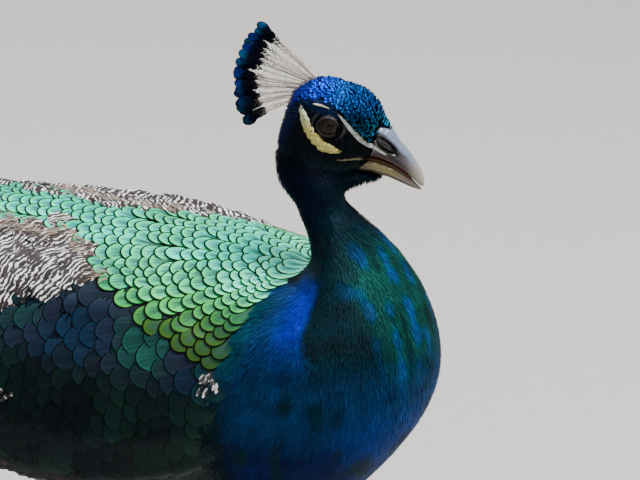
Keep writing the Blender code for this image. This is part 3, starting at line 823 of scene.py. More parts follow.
# Scale feathers of the back, on lines that spread from the neck's base. A new line starts where two part too
# far, and one of two ends where they come too close
mantlePlan = {"columns": 25, "fan": 114, "step": 1.2, "reach": 290, "ring": (36, 24, -10), "gap": (4.0, 7.4),
              "beside": (5.4, 10.4), "joinUnder": 0.62, "splitOver": 1.5, "farthest": 40, "fillEvery": 4.0,
              "fillOver": 0.82, "overlap": 2.7, "broader": 1.42, "tucked": 0.55, "rows": 9, "cols": 9,
              "outline": "scale", "sink": -1.2, "rise": 1.1, "camber": 0.5, "uneven": 0.06, "aim": 0.08,
              "shift": 0.2}
mantleStuff = vaneMaterial("scalePlumage", 0.6, 0.4, {
    "Centre": ink("3a5c4a"), "Rim": ink("010302"), "Centre Share": 0.8, "Rim Width": 1.2, "Barbs": 8.0,
    "Glow": np.array([1.7, 1.2, 0.5]), "Glow Share": 0.7, "Slant": 0.3, "Fan": 1.0, "Streak": 0.7}, bump=0.25,
    Specular_IOR_Level=0.25)


def mantleRoots():
    plan = mantlePlan
    angle = np.radians(np.linspace(-plan["fan"], plan["fan"], plan["columns"]))
    wide, deep, middleY = plan["ring"]
    starts = np.stack([wide * np.sin(angle), middleY + deep * np.cos(angle), np.full(len(angle), 70.0)], 1)
    line, normals = landOn(form, castOn(form, starts, (0, 0, -1))[0])
    phase = np.where(np.arange(len(line)) % 2, 0.5, 0.0)
    found = []
    for step in range(plan["reach"]):
        travelled = step * plan["step"]
        gap = np.interp(travelled, [0, 70], plan["gap"])
        beside = np.interp(travelled, [0, 70], plan["beside"])
        apart = np.linalg.norm(np.diff(line, axis=0), axis=1)
        found += [(*line[k], *normals[k], beside, gap) for k in np.nonzero(phase >= 1)[0]]
        phase = phase % 1 + plan["step"] / gap
        close = np.append(apart < beside * plan["joinUnder"], False)
        close[1:] &= ~close[:-1]
        line, phase = line[~close], phase[~close]
        apart = np.linalg.norm(np.diff(line, axis=0), axis=1)
        wide = np.nonzero((apart > beside * plan["splitOver"]) & (apart < plan["farthest"]))[0]
        line = np.insert(line, wide + 1, (line[wide] + line[wide + 1]) / 2, axis=0)
        phase = np.insert(phase, wide + 1, (phase[wide] + 0.5) % 1)
        line, normals = landOn(form, line)
        line, normals = landOn(form, line + flowAt(line, normals) * plan["step"])
    return np.array(found)


def mantlePlumage():
    plan, found = mantlePlan, mantleRoots()
    ahead = np.array([0, 5.0, 0])  # the first scales lie tucked under the neck's edge
    found = found[scaleMargin(found[:, :3] - ahead) > -1]
    extra, upward = scatter(form, plan["fillEvery"], (scaleMargin(middle - ahead) > 0) & (middle[:, 1] > 14))
    for spot, normal in zip(extra, upward):
        apart = np.linalg.norm(found[:, :3] - spot, axis=1)
        near = apart.argmin()
        if plan["fillOver"] * found[near, 6] < apart[near] < plan["farthest"]:
            found = np.vstack([found, [*spot, *normal, *found[near, 6:]]])
    roots, normals = found[:, :3], found[:, 3:6]
    width = found[:, 6] * plan["broader"]
    length = found[:, 7] * plan["overlap"]
    plan = {**plan, "width": width, "length": length, "widthMean": width.mean(), "lengthMean": length.mean()}
    flows = flowAt(roots, normals)
    tints = scaleTint(roots + flows * length[:, None]) * rng.uniform(0.82, 1.15, (len(roots), 1))
    starts = roots - flows * (length * mantlePlan["tucked"])[:, None]
    layFeathers("mantle", starts, normals, flows, tints, mantleStuff, "back_plumage", plan, drape=form)


mantlePlumage()


# Staggered rows over the side of the right wing, cast on from outside; side 1 mirrors them to the left wing
def wingRows(plan, side, allow):
    tilt = math.radians(plan["tilt"])
    along = np.array([0, math.cos(tilt), -math.sin(tilt)])
    down = np.array([0, -math.sin(tilt), -math.cos(tilt)])
    corner = np.array([-260, plan["corner"][0], plan["corner"][1] + plan["above"]])
    row, column = np.meshgrid(np.arange(plan["count"][0]), np.arange(plan["count"][1]), indexing="ij")
    reach = (row + 0.5 * (column % 2)).ravel()[:, None] * plan["gaps"][0]
    start = corner + along * reach + down * (column.ravel()[:, None] * plan["gaps"][1])
    start = start + rng.uniform(-1, 1, start.shape) * plan["stray"]
    spots, normals, met = castOn(form, start, tuple(unit(np.array([260.0, 0, -plan["above"]]))))
    spots, normals = spots[met], normals[met]
    flows = unit(along - normals * (normals @ along)[:, None])
    mirror = np.array([-side, 1, 1])
    allowed = allow(spots * mirror)
    return (spots * mirror)[allowed], (normals * mirror)[allowed], (flows * mirror)[allowed]


# The lower edge of the barred feathers on each wing
barredEdge = {"y": [60, 99, 104, 111, 123, 142, 161, 200, 300, 420],
              "right": [40, 9, -1, -5, -11, -16, -18, -22, -36, -50],
              "left": [-16, -18, -18, -18, -20, -22, -24, -28, -38, -50]}


def barredZone(points):
    x, y, z = points.T
    low = [np.interp(y, barredEdge["y"], barredEdge[side]) for side in ("right", "left")]
    return (scaleMargin(points) < 4) & (z > np.where(x < 0, *low)) & (y > 50) & (y < 330)


# The coverts reach a little under the barred feathers and stop short of the scales
def covertZone(points):
    x, y, z = points.T
    clear = (scaleMargin(points + np.array([0, 12.0, -2.0])) < 1) & (scaleMargin(points) < 1)
    within = (z > -104) & (y > 14) & (y < 190) & (np.abs(x) > 40)
    return clear & within & ~barredZone(points - np.array([0, 0, 7.0]))


barredPlan = {"tilt": 12, "corner": (46, 40), "gaps": (11, 7.5), "count": (27, 18), "stray": 2.2,
              "above": 150, "tucked": 16, "length": 36, "width": 19, "widthMean": 19, "lengthMean": 36,
              "rows": 7, "cols": 7, "outline": "scale", "sink": -2.0, "rise": 1.8, "camber": 1.2, "aim": 0.22,
              "shift": 0.5, "uneven": 0.12}
covertPlan = {"tilt": 24, "corner": (10, 16), "gaps": (10.5, 9.5), "count": (20, 17), "stray": 0.9,
              "above": 40, "tucked": 14, "length": 30, "width": 19.5, "widthMean": 19.5, "lengthMean": 30,
              "rows": 9, "cols": 7, "outline": "scale", "sink": -1.6, "rise": 0.9, "camber": 1.0, "aim": 0.09,
              "shift": 0.3, "uneven": 0.08}
barredStuff = tintedMaterial("barredPlumage", 0.0, 0.55, "barred", "Mask", lambda tree: {
    "Vane": reading(tree, "vane", "Vector"), "Pale": ink("ffffff"), "Dark": ink("2a201e"), "Bars": 300.0,
    "Paleness": -0.45})
covertStuff = vaneMaterial("covertPlumage", 0.6, 0.42, {
    "Centre": ink("10141f"), "Rim": ink("02050a"), "Centre Share": 0.35, "Rim Width": 0.7, "Barbs": 9.0,
    "Glow": np.array([0.5, 1.5, 1.2]), "Glow Share": 0.5, "Slant": 0.3, "Fan": 1.0, "Streak": 0.35}, bump=0.2,
    Specular_IOR_Level=0.2)
underPlan = {"spacing": 5.2, "rows": 5, "cols": 3, "outline": "scale", "length": 17, "width": 10,
             "widthMean": 10, "lengthMean": 17, "sink": -3.0, "rise": -0.2, "camber": 0.5, "aim": 0.2,
             "shift": 0.5, "uneven": 0.2}
fluffPlan = {"spacing": 1.5, "rows": 4, "cols": 2, "length": 9.0, "width": 0.6, "sink": -1.0, "rise": 2.2,
             "curl": -0.5, "aim": 0.6, "roll": 0.5, "uneven": 0.4, "shift": 0.5}
fluffStuff = vaneMaterial("fluffPlumage", 0.0, 0.75, {"Centre": ink("8a7364"), "Rim": ink("8a7364")})
tuftPlan = {**barredPlan, "length": 12, "width": 3.4, "rise": 1.9, "aim": 0.5, "tone": 0.42, "tucked": 3,
            "spots": [(79, 24, -37), (79, 21, -37), (79, 18, -38), (80, 25, -40), (80, 22, -41),
                      (80, 19, -42), (81, 23, -44), (82, 21, -46),
                      (102, 139, -64), (101, 145, -67), (102, 142, -69)]}


# A dark coat under the wing feathers, and a pale fluffy border beside the scales
def wingUnder():
    _, y, z = middle.T
    roots, normals = scatter(form, underPlan["spacing"], onWing & ((y < 168) | (z > -86)))
    flows = layFlat(np.array([0, 0.97, -0.22]), normals)
    tint = blend(covertTint(roots) * 0.55, ink("54463f"), barredZone(roots) * 1.0)
    tint = tint * rng.uniform(0.6, 1.3, (len(roots), 1))
    layFeathers("wingUnder", roots, normals, flows, tint, covertStuff, "wing_plumage", underPlan, drape=form)
    margin = scaleMargin(middle)
    zone = (margin > -8) & (margin < 1.5) & (y > 100) & (y < 190) & (z > -14)
    roots, normals = scatter(form, fluffPlan["spacing"], zone & (wander(middle, 16, 61) > -0.25))
    tint = blend(ink("b9a696"), ink("8d766a"), rng.random(len(roots)))
    tint = tint * rng.uniform(0.6, 1.2, (len(roots), 1))
    flows = unit(flowAt(roots, normals) + np.sign(roots[:, :1]) * (0.35, 0, 0))
    layFeathers("borderFluff", roots, normals, flows, tint, fluffStuff, "wing_plumage", fluffPlan)


def wingCoverts():
    for side, label in ((1, "left"), (-1, "right")):
        roots, normals, flows = wingRows(covertPlan, side, covertZone)
        tints = covertTint(roots + flows * 20) * rng.uniform(0.85, 1.15, (len(roots), 1))
        starts = roots - flows * covertPlan["tucked"]
        layFeathers("coverts_" + label, starts, normals, flows, tints, covertStuff, "wing_plumage",
                    covertPlan, drape=form)
        roots, normals, flows = wingRows(barredPlan, side, barredZone)
        tints = np.ones((len(roots), 3)) * rng.uniform(0.8, 1.1, (len(roots), 1))
        starts = roots - flows * barredPlan["tucked"]
        layFeathers("scapulars_" + label, starts, normals, flows, tints, barredStuff, "wing_plumage",
                    barredPlan, drape=form)
        roots, normals = landOn(form, np.array(tuftPlan["spots"]) * (side, 1, 1.0))
        flows = layFlat(flowAt(roots, normals) * 0.5 + np.array([0, 0, -1.0]), normals)
        tints = np.full((len(roots), 3), tuftPlan["tone"])
        starts = roots - flows * tuftPlan["tucked"]
        layFeathers("barredTufts_" + label, starts, normals, flows, tints, barredStuff, "wing_plumage",
                    tuftPlan)


wingCoverts()
wingUnder()


# Head: marks are laid out as forward and up in millimetres on each side of the face
facePlan = {
    "crescent": {"line": [(-17.4, 5.2), (-16.0, 2.4), (-13.2, -0.9), (-10.0, -4.4), (-6.4, -8.1),
                          (-0.8, -11.5), (4.8, -13.0), (9.6, -12.9), (13.0, -12.6)],
                 "width": (1.8, 4.2, 5.4, 5.3, 5.6, 6.4, 6.4, 5.0, 2.0), "thick": 1.0, "lumps": 0.9},
    "lore": {"line": [(3.4, 8.0), (7.2, 5.9), (11.7, 3.1), (17.0, -0.5), (22.1, -3.5), (26.4, -5.3),
                      (30.2, -6.4), (35.6, -8.0), (40.4, -9.2)],
             "width": (0.8, 2.1, 2.8, 3.2, 3.0, 2.7, 2.4, 1.9, 0.8), "thick": 0.7, "lumps": 0.18},
    "brow": {"line": [(-11.8, 8.2), (-8.8, 9.0), (-5.4, 9.3), (-1.8, 9.2)],
             "width": (0.7, 1.6, 1.1, 0.5), "thick": 0.6, "lumps": 0.35},
    "gape": {"line": [(12.2, -18.3), (14.2, -18.2), (17.0, -16.8), (20.4, -15.6), (24.0, -14.6),
                      (27.0, -14.2)],
             "width": (1.0, 1.5, 1.3, 1.6, 2.0, 1.6), "thick": 0.5, "lumps": 0.12}}
# Above this line the crown's feathers lie, below it the cheeks'
crownLine = [(-40, -1), (-21.5, 2.5), (-17.5, 8.2), (-12.6, 11.2), (-6, 12.4), (-2, 12.2), (3.5, 11.4),
             (11.7, 7.2), (22.1, 0.2), (27.0, -2.0), (60, -8)]
eyePlan = {"middle": (9.6, 0.6, -0.7), "radius": 8.5, "opening": (5.5, 4.9), "corners": (1.5, 0.8),
           "pupil": 2.2}


def smoothLine(line, count):
    line = np.asarray(line, float)
    along = np.append(0, np.cumsum(np.linalg.norm(np.diff(line, axis=0), axis=1)))
    where = np.linspace(0, along[-1], count)
    rounded = np.stack([np.interp(where, along, column) for column in line.T], 1)
    for _ in range(max(2, count // 12)):
        rounded[1:-1] += 0.25 * (rounded[2:] + rounded[:-2] - 2 * rounded[1:-1])
    return rounded


def lineDistance(spots, line):
    line = np.asarray(line, float)
    start, leg = line[:-1], np.diff(line, axis=0)
    share = np.clip(((spots[:, None] - start) * leg).sum(2) / (leg ** 2).sum(1), 0, 1)
    apart = np.linalg.norm(spots[:, None] - start - share[..., None] * leg, axis=2)
    best = apart.argmin(1)
    return apart.min(1), best + share[np.arange(len(spots)), best]


# How far outside a mark's edge a place on the face is; below 0 it lies on the mark
def markGap(spots, mark):
    far, where = lineDistance(spots, mark["line"])
    return far - np.interp(where, np.arange(len(mark["width"])), mark["width"]) / 2


def lidRadius(angle):
    wide, tall = eyePlan["opening"]
    almond = 1 / np.sqrt((np.cos(angle) / wide) ** 2 + (np.sin(angle) / tall) ** 2)
    front = np.exp(-(((angle + 0.16 + math.pi) % (2 * math.pi) - math.pi) / 0.38) ** 2)
    back = np.exp(-(((angle - 0.2) % (2 * math.pi) - math.pi) / 0.4) ** 2)
    return almond + eyePlan["corners"][0] * front + eyePlan["corners"][1] * back


def eyeGap(head):
    apart = head[:, 1:] - np.array(eyePlan["middle"][1:])
    return np.linalg.norm(apart, axis=1) - lidRadius(np.arctan2(apart[:, 1], apart[:, 0]))


# Bill: each half remeshed finely, then worked: nostrils, culmen, cutting edges
billPlan = {"cell": 0.45, "nostril": (36.6, -3.6), "slope": -0.42, "length": 8.8, "height": 2.9, "depth": 3.0,
            "tipFrom": 38, "tipRaised": 0.09, "tipLonger": {"billUpper": -0.05, "billLower": 0.04}}
upperEdge = [(18, -18), (28, -14.6), (35, -12.9), (41, -13.6), (47, -15.2), (53, -17.4), (58.4, -20.2),
             (63, -22.8)]


def nostrilMarks(head):
    apart = head[:, 1:] - np.array(billPlan["nostril"])
    turn = billPlan["slope"]
    along = apart[:, 0] * math.cos(turn) + apart[:, 1] * math.sin(turn)
    over = apart[:, 1] * math.cos(turn) - apart[:, 0] * math.sin(turn)
    inside = np.sqrt((along / billPlan["length"]) ** 2 + (over / billPlan["height"]) ** 2)
    return inside, along, over


def workUpper(head):
    left, forward, up = head.T
    inside, along, over = nostrilMarks(head)
    flank = smooth(1.0, 3.0, np.abs(left))
    hollow = smooth(1.15, 0.6, inside) * flank
    flap = np.exp(-((over - 2.7) / 1.1) ** 2) * smooth(9, 5, np.abs(along)) * flank
    lip = np.exp(-((up - np.interp(forward, *zip(*upperEdge)) - 0.9) / 0.8) ** 2)
    height = flap * 0.6 - hollow * billPlan["depth"] + lip * 0.22 + 0.06 * wander(head, 3.0, 31)
    height += 2.3 * np.exp(-((forward - 34) / 6.5) ** 2) * smooth(-6, 3, up)
    height += 1.5 * smooth(33, 28, forward) * smooth(-6, 0, up)
    # Blue-grey bill with a brown lower flank; the blue-grey over the top and the pale tip are partly painted
    # highlight
    tone = layered(ink("808ca6"),
                   ("463330", smooth(1.5, -4, up + 0.5 * (forward - 33)) * 0.9),
                   ("b0a99c", smooth(50, 64, forward)),
                   ("8f8468", lip * 0.6),
                   ("c8d2e2", smooth(31.5, 27.5, forward) * 0.85),
                   # Dark brown round the nostril, and near black in its hollow as painted shade
                   ("2a1a1a", smooth(2.3, 1.2, inside) * smooth(3.0, 1.2, over) * flank * 0.8),
                   ("080302", smooth(1.3, 0.85, inside) * flank))
    return height, tone * (1 + 0.12 * wander(head * (3, 0.35, 3), 5.0, 32))[:, None]


def workLower(head):
    _, forward, up = head.T
    tone = layered(ink("756b40"), ("403920", smooth(-17, -21, up + 0.2 * (forward - 34))),
                   ("6a6258", smooth(42, 56, forward)))
    return 0.05 * wander(head, 3.0, 33), tone * (1 + 0.12 * wander(head * (3, 0.35, 3), 5.0, 34))[:, None]


hornStuff, hornTree, hornSockets = newMaterial("billHorn", 0.0, 0.3, Coat_Weight=0.45, Coat_Roughness=0.12)
hornGrain = ranged(hornTree, speckle(hornTree, 2600.0, 4.0), 0.35, 0.75)
feed(hornTree, hornSockets["Base Color"], mottled(hornTree, hornGrain, ink("d9cfc6")))
bumped(hornTree, hornSockets, speckle(hornTree, 1500.0, 3.0), 0.15, 0.0003)


def billHalf(node, name, work):
    mesh, points, faces = weldSmooth([node], 0.1, billPlan["cell"], 9)
    head = inHead(points)
    height, tone = work(head)
    shape = surfaceOf(points, faces)
    points = points + shape["normals"] * height[:, None]
    head = inHead(points)
    beyond = np.maximum(head[:, 1] - billPlan["tipFrom"], 0)
    head[:, 2] += beyond * billPlan["tipRaised"]
    head[:, 1] += beyond * billPlan["tipLonger"][name]
    points = fromHead(head)
    reshape(mesh, points)
    piece = finishPiece(name, mesh, hornStuff, "horn", tint=tone)
    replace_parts(piece, node)
    return surfaceOf(points, faces)


upperBill = billHalf("bill_upper", "billUpper", workUpper)
billHalf("bill_lower", "billLower", workLower)
offset = len(form["points"])
face = surfaceOf(np.vstack([form["points"], upperBill["points"]]),
                 [tuple(t) for t in form["triangles"]] + [tuple(t) for t in upperBill["triangles"] + offset])


def mouthLining():
    forward = np.linspace(14, 57, 30)
    middle = np.interp(forward, [14, 34, 44, 53, 60], [-18.9, -13.6, -14.3, -16.9, -20.5])
    half = np.interp(forward, [14, 22, 34, 44, 54, 60], [6.6, 6.4, 5.6, 4.4, 2.9, 1.3])
    turn = np.linspace(0, 2 * math.pi, 17)
    rings = np.stack([half[:, None] * np.cos(turn), np.repeat(forward[:, None], 17, 1),
                      middle[:, None] + 0.75 * np.sin(turn)], -1)
    made = speckledMaterial("mouthLining", 0.35, (900.0,), ink("5c1a10"), ink("35100b"), Coat_Weight=0.4)
    makePiece("mouthLining", fromHead(rings.reshape(-1, 3)), gridQuads(1, 30, 17), made, "horn")


mouthLining()

# Bare skin of the face: pale bumpy marks, lids and the corner of the mouth
faceStuff, faceTree, faceSockets = newMaterial("bareFace", 0.0, 0.55)
faceGrain = ranged(faceTree, speckle(faceTree, 1700.0, 3.0), 0.5, 0.72)
feed(faceTree, faceSockets["Base Color"], mottled(faceTree, faceGrain, ink("8f8a70")))
bumped(faceTree, faceSockets, speckle(faceTree, 1300.0, 3.0), 0.6, 0.0006)


def markPiece(name, side, mark, tones, seed):
    rows, cols = 15 + 6 * len(mark["line"]), 13
    path = smoothLine(mark["line"], rows)
    ahead = unit(np.gradient(path, axis=0))
    out = np.stack([-ahead[:, 1], ahead[:, 0]], 1)
    share = np.linspace(0, len(mark["width"]) - 1, rows)
    half = np.interp(share, np.arange(len(mark["width"])), mark["width"]) / 2
    across = np.linspace(-1, 1, cols)
    ragged = [1 + 0.22 * wander(np.column_stack([path, np.full(rows, k)]), 3.2, seed + k) for k in (0, 5)]
    wide = np.where(across[None] < 0, ragged[0][:, None], ragged[1][:, None]) * half[:, None] * across
    spots = path[:, None] + out[:, None] * wide[..., None]
    start = np.concatenate([np.full((rows, cols, 1), 45.0 * side), spots], -1).reshape(-1, 3)
    points, normals, met = castOn(face, fromHead(start), tuple(-side * headAxes[0]))
    start[:, 0] = np.where(met, 0, side * 9.0)
    near, nearNormals = landOn(face, fromHead(start))
    points, normals = np.where(met[:, None], points, near), np.where(met[:, None], normals, nearNormals)
    ends = np.minimum(1, np.sin(np.linspace(0.06, 3.08, rows)) * 2.2)
    dome = np.sqrt(np.clip(1 - across ** 2, 0, 1))[None] * ends[:, None]
    lumps = mark["lumps"] * (0.6 * wander(points, 2.2, seed + 9) + 0.5 * wander(points, 1.1, seed + 10))
    height = -0.5 + (mark["thick"] + 0.5 + lumps.reshape(rows, cols)) * dome
    points = points + normals * height.reshape(-1, 1)
    tint = blend(*map(ink, tones), smooth(-0.5, 1, wander(points, 5, seed)))
    if name == "crescent":
        up = inHead(points)[:, 2]
        spotted = smooth(0.35, 0.9, wander(points, 1.6, 47)) * smooth(2, -8, up)
        tint = layered(tint, ("bdb352", smooth(4, -8, up) * 0.85), ("6f6a2c", spotted * 0.8))
    return makePiece(f"{name}_{sideName(side)}", points, gridQuads(1, rows, cols), faceStuff,
                     "neck_plumage", tint=tint)


# Rings of the lids: how far outside the opening, and how high over the ball or the skin
lidSteps = [(-0.9, -0.5), (-0.25, 0.1), (0.1, 0.62), (0.4, 0.85), (0.8, 0.72), (1.1, 0.42), (1.4, 0.6),
            (1.8, 0.8), (2.2, 0.55), (2.5, 0.36), (2.8, 0.48), (3.2, 0.2), (3.8, -0.25), (4.6, -0.9)]


def lids(side):
    around, middle = 88, np.array(eyePlan["middle"])
    angle = np.linspace(0, 2 * math.pi, around)
    rows = []
    for out, high in lidSteps:
        far = lidRadius(angle) + out * (1 + 0.06 * np.sin(5 * angle))
        spots = np.stack([far * np.cos(angle), far * np.sin(angle)], 1) + middle[1:]
        ball = middle[0] + np.sqrt(np.maximum(eyePlan["radius"] ** 2 - np.minimum(far, 8.2) ** 2, 0))
        start = np.column_stack([np.full(around, 45.0 * side), spots])
        hit = inHead(castOn(form, fromHead(start), tuple(-side * headAxes[0]))[0])
        skinSide = np.abs(hit[:, 0])
        share = smooth(7.3, 8.8, far)
        crease = 0.10 * np.sin(angle * 23 + 2 * math.sin(out * 3)) * smooth(0.8, 2.0, out)
        rows.append(np.column_stack([side * (ball * (1 - share) + skinSide * share + high + crease), spots]))
    points = fromHead(np.array(rows).reshape(-1, 3))
    step = np.repeat(np.arange(len(lidSteps)), around)
    grey, dark, rim = ink("2c2422"), ink("07080b"), ink("0f0b0a")
    tint = blend(rim, grey, smooth(1.5, 3, step) * smooth(9, 6, step))
    tint = blend(tint, dark, smooth(7.5, 9.5, step))
    return makePiece(f"lids_{sideName(side)}", points, gridQuads(1, len(lidSteps), around)[:, ::side],
                     faceStuff, "neck_plumage", tint=tint)


eyeStuff, eyeTree, eyeSockets = newMaterial("eye", 0.0, 0.45, Coat_Weight=0.3, Coat_Roughness=0.03,
                                            Specular_IOR_Level=0.05)


def eyeMaterial():
    tree = eyeTree
    split = addNode(tree, "SeparateXYZ", {0: reading(tree, "vane", "Vector")}).outputs
    threads = speckle(tree, 1.0, 3.0, combined(tree, times(tree, split[1], 14.0), times(tree, split[0], 0.5)))
    iris = mixed(tree, threads, ink("150e0b"), ink("2a1e18"))
    iris = mixed(tree, ranged(tree, split[0], 3.0, 4.6), iris, ink("0d0908"))
    tone = mixed(tree, ranged(tree, split[0], eyePlan["pupil"], eyePlan["pupil"] + 0.3), ink("020202"), iris)
    feed(tree, eyeSockets["Base Color"], mixed(tree, ranged(tree, split[0], 5.2, 5.7), tone, ink("0d0a0a")))


eyeMaterial()


def eyeball(side):
    rings, around = 44, 56
    tilt = np.linspace(0.004, 2.2, rings) ** 1.15
    turn = np.linspace(0, 2 * math.pi, around)
    radius = eyePlan["radius"] + 0.55 * smooth(0.75, 0.2, tilt)
    gaze = unit(np.array([1.0, 0.16, 0.04]))
    ahead = unit(np.cross((0, 0, 1.0), gaze))
    over = np.cross(gaze, ahead)
    outward = np.cos(turn)[:, None] * ahead + np.sin(turn)[:, None] * over
    spots = np.cos(tilt)[:, None, None] * gaze + np.sin(tilt)[:, None, None] * outward
    spots = radius[:, None, None] * spots
    spots = (spots.reshape(-1, 3) + np.array(eyePlan["middle"])) * (side, 1, 1)
    fromMiddle = eyePlan["radius"] * np.sin(np.minimum(tilt, 1.57))
    vane = np.stack(np.broadcast_arrays(fromMiddle[:, None], turn, 0.0), -1)
    name = sideName(side)
    piece = makePiece("eyeball_" + name, fromHead(spots), gridQuads(1, rings, around)[:, ::side], eyeStuff,
                      "eye", vane=vane.reshape(-1, 3))
    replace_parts(piece, "eye_" + name)


for side in (1, -1):
    markPiece("crescent", side, facePlan["crescent"], ("c6ceb4", "a6ac86"), 40)
    markPiece("lore", side, facePlan["lore"], ("bcc4ba", "8f988e"), 52)
    markPiece("brow", side, facePlan["brow"], ("ccd0bc", "9a9f8c"), 64)
    markPiece("gape", side, facePlan["gape"], ("6a6442", "3c3626"), 76)
    lids(side)
    eyeball(side)

# Tiny curled feathers of the crown, fine dark ones on cheeks, brow and throat
crownPlan = {"spacing": 1.42, "rows": 6, "cols": 5, "outline": "scale", "length": 3.5, "width": 2.5,
             "widthMean": 2.5, "lengthMean": 3.5, "sink": -0.9, "curl": -0.9, "camber": 0.75, "aim": 0.5,
             "roll": 0.3, "uneven": 0.22}
cheekPlan = {"spacing": 0.95, "rows": 3, "cols": 2, "length": 3.4, "width": 0.75, "sink": -0.8, "rise": 0.25,
             "aim": 0.25, "roll": 0.4, "uneven": 0.3}
# The crown feathers' near-black rims are painted shade of the gaps between them
crownStuff = vaneMaterial("crownPlumage", 0.6, 0.5, {
    "Centre": ink("03103a"), "Rim": ink("010410"), "Rim Width": 0.42, "Barbs": 3.0, "Slant": 0.3, "Fan": 1.0,
    "Streak": 0.25}, Specular_IOR_Level=0.12)
cheekStuff = vaneMaterial("cheekPlumage", 0.4, 0.5, {"Centre": ink("010308"), "Rim": ink("010308")},
                          Specular_IOR_Level=0.15)


def crownTint(points):
    _, forward, up = inHead(points).T
    tone = layered(ink("1c1aa8"), ("0c44e0", smooth(-22, -11, forward)), ("0a7ce8", smooth(-8, 8, forward)),
                   ("053e66", smooth(16, 6, up) * smooth(-4, 6, forward)),
                   ("0a86b0", smooth(18, 33, forward - 0.5 * (up - 12))))
    return tone * (1 + 0.35 * smooth(12, 24, forward))[:, None]


def cheekTint(points):
    _, forward, up = inHead(points).T
    return layered(ink("020a12"), ("0b1c4a", smooth(-12, -24, forward)),
                   ("032430", smooth(-16, -24, up) * smooth(-12, 8, forward)),
                   ("0a2450", smooth(3.5, 7, up) * smooth(8, 2, forward) * smooth(-18, -10, forward)))


# Feathers end where the horn of the bill begins: a point over the forehead, a notch at each side
def hornShows(head):
    left, forward, up = head.T
    wedge = 7.2 * np.clip((38.0 - forward) / 10.6, 0, 1)
    above = up > np.interp(forward, *zip(*facePlan["lore"]["line"]))
    side = (forward > np.where(above, 27.8, 29.4)) & (np.abs(left) > np.where(up > 0, wedge, 0))
    return (side & (up > -18.6)) | (forward > 41)


def headPlumage():
    centre = middlesOf(face)
    head = inHead(centre)
    line = np.interp(head[:, 1], *zip(*crownLine))
    bare = (eyeGap(head) < 1.3) | hornShows(head)
    for mark in facePlan.values():
        bare |= markGap(head[:, 1:], mark) < 0.1
    onHead = (head[:, 2] > -24) & (centre[:, 2] > 45) & ~bare
    for name, keep, plan, tone, stuff in (
            ("crown", onHead & (head[:, 2] > line), crownPlan, crownTint, crownStuff),
            ("cheeks", onHead & (head[:, 2] <= line), cheekPlan, cheekTint, cheekStuff)):
        roots, normals = scatter(face, plan["spacing"], keep)
        tint = tone(roots) * rng.uniform(0.6, 1.4, (len(roots), 1))
        forward = smooth(-4, 22, inHead(roots)[:, 1])[:, None, None]
        tip = smooth(26, 34, inHead(roots)[:, 1])[:, None, None]
        plan = plan if name == "cheeks" else {**plan, "rise": 1.3 + 1.3 * forward - 1.4 * tip}
        layFeathers(name, roots, normals, flowAt(roots, normals), tint, stuff, "neck_plumage", plan)


headPlumage()

# Crest: a fan of bare shafts with spoon-shaped tips
crestPlan = {"count": 24, "root": (-5.0, 14.4), "fan": (154, 219.5), "tip": (54.4, 50.0), "leave": (9.5, 13),
             "rows": 15, "shaftBarbs": 46, "barbs": 40, "blade": 11.5, "halfBlade": 2.9, "cap": (3.3, 4.7),
             "capRows": 6, "capCols": 17}


# One barb: a narrow strip leaving the shaft at place, leaning towards the tip
def crestBarb(shaft, place, way, size, width, lean, lift):
    path, along, ahead, over = shaft
    root = np.array([np.interp(place, along, path[:, axis]) for axis in range(3)])
    out = over * way * math.cos(lean) + ahead * math.sin(lean) + np.array([0.25 * lift, 0, 0])
    broad = np.cross(out, [1.0, 0, 0]) * width / 2
    rows = [root - broad, root + broad, root + out * size * 0.6 - broad, root + out * size * 0.6 + broad]
    tip = root + out * size + ahead * size * 0.12
    return np.array(rows + [tip - broad * 0.3, tip + broad * 0.3])


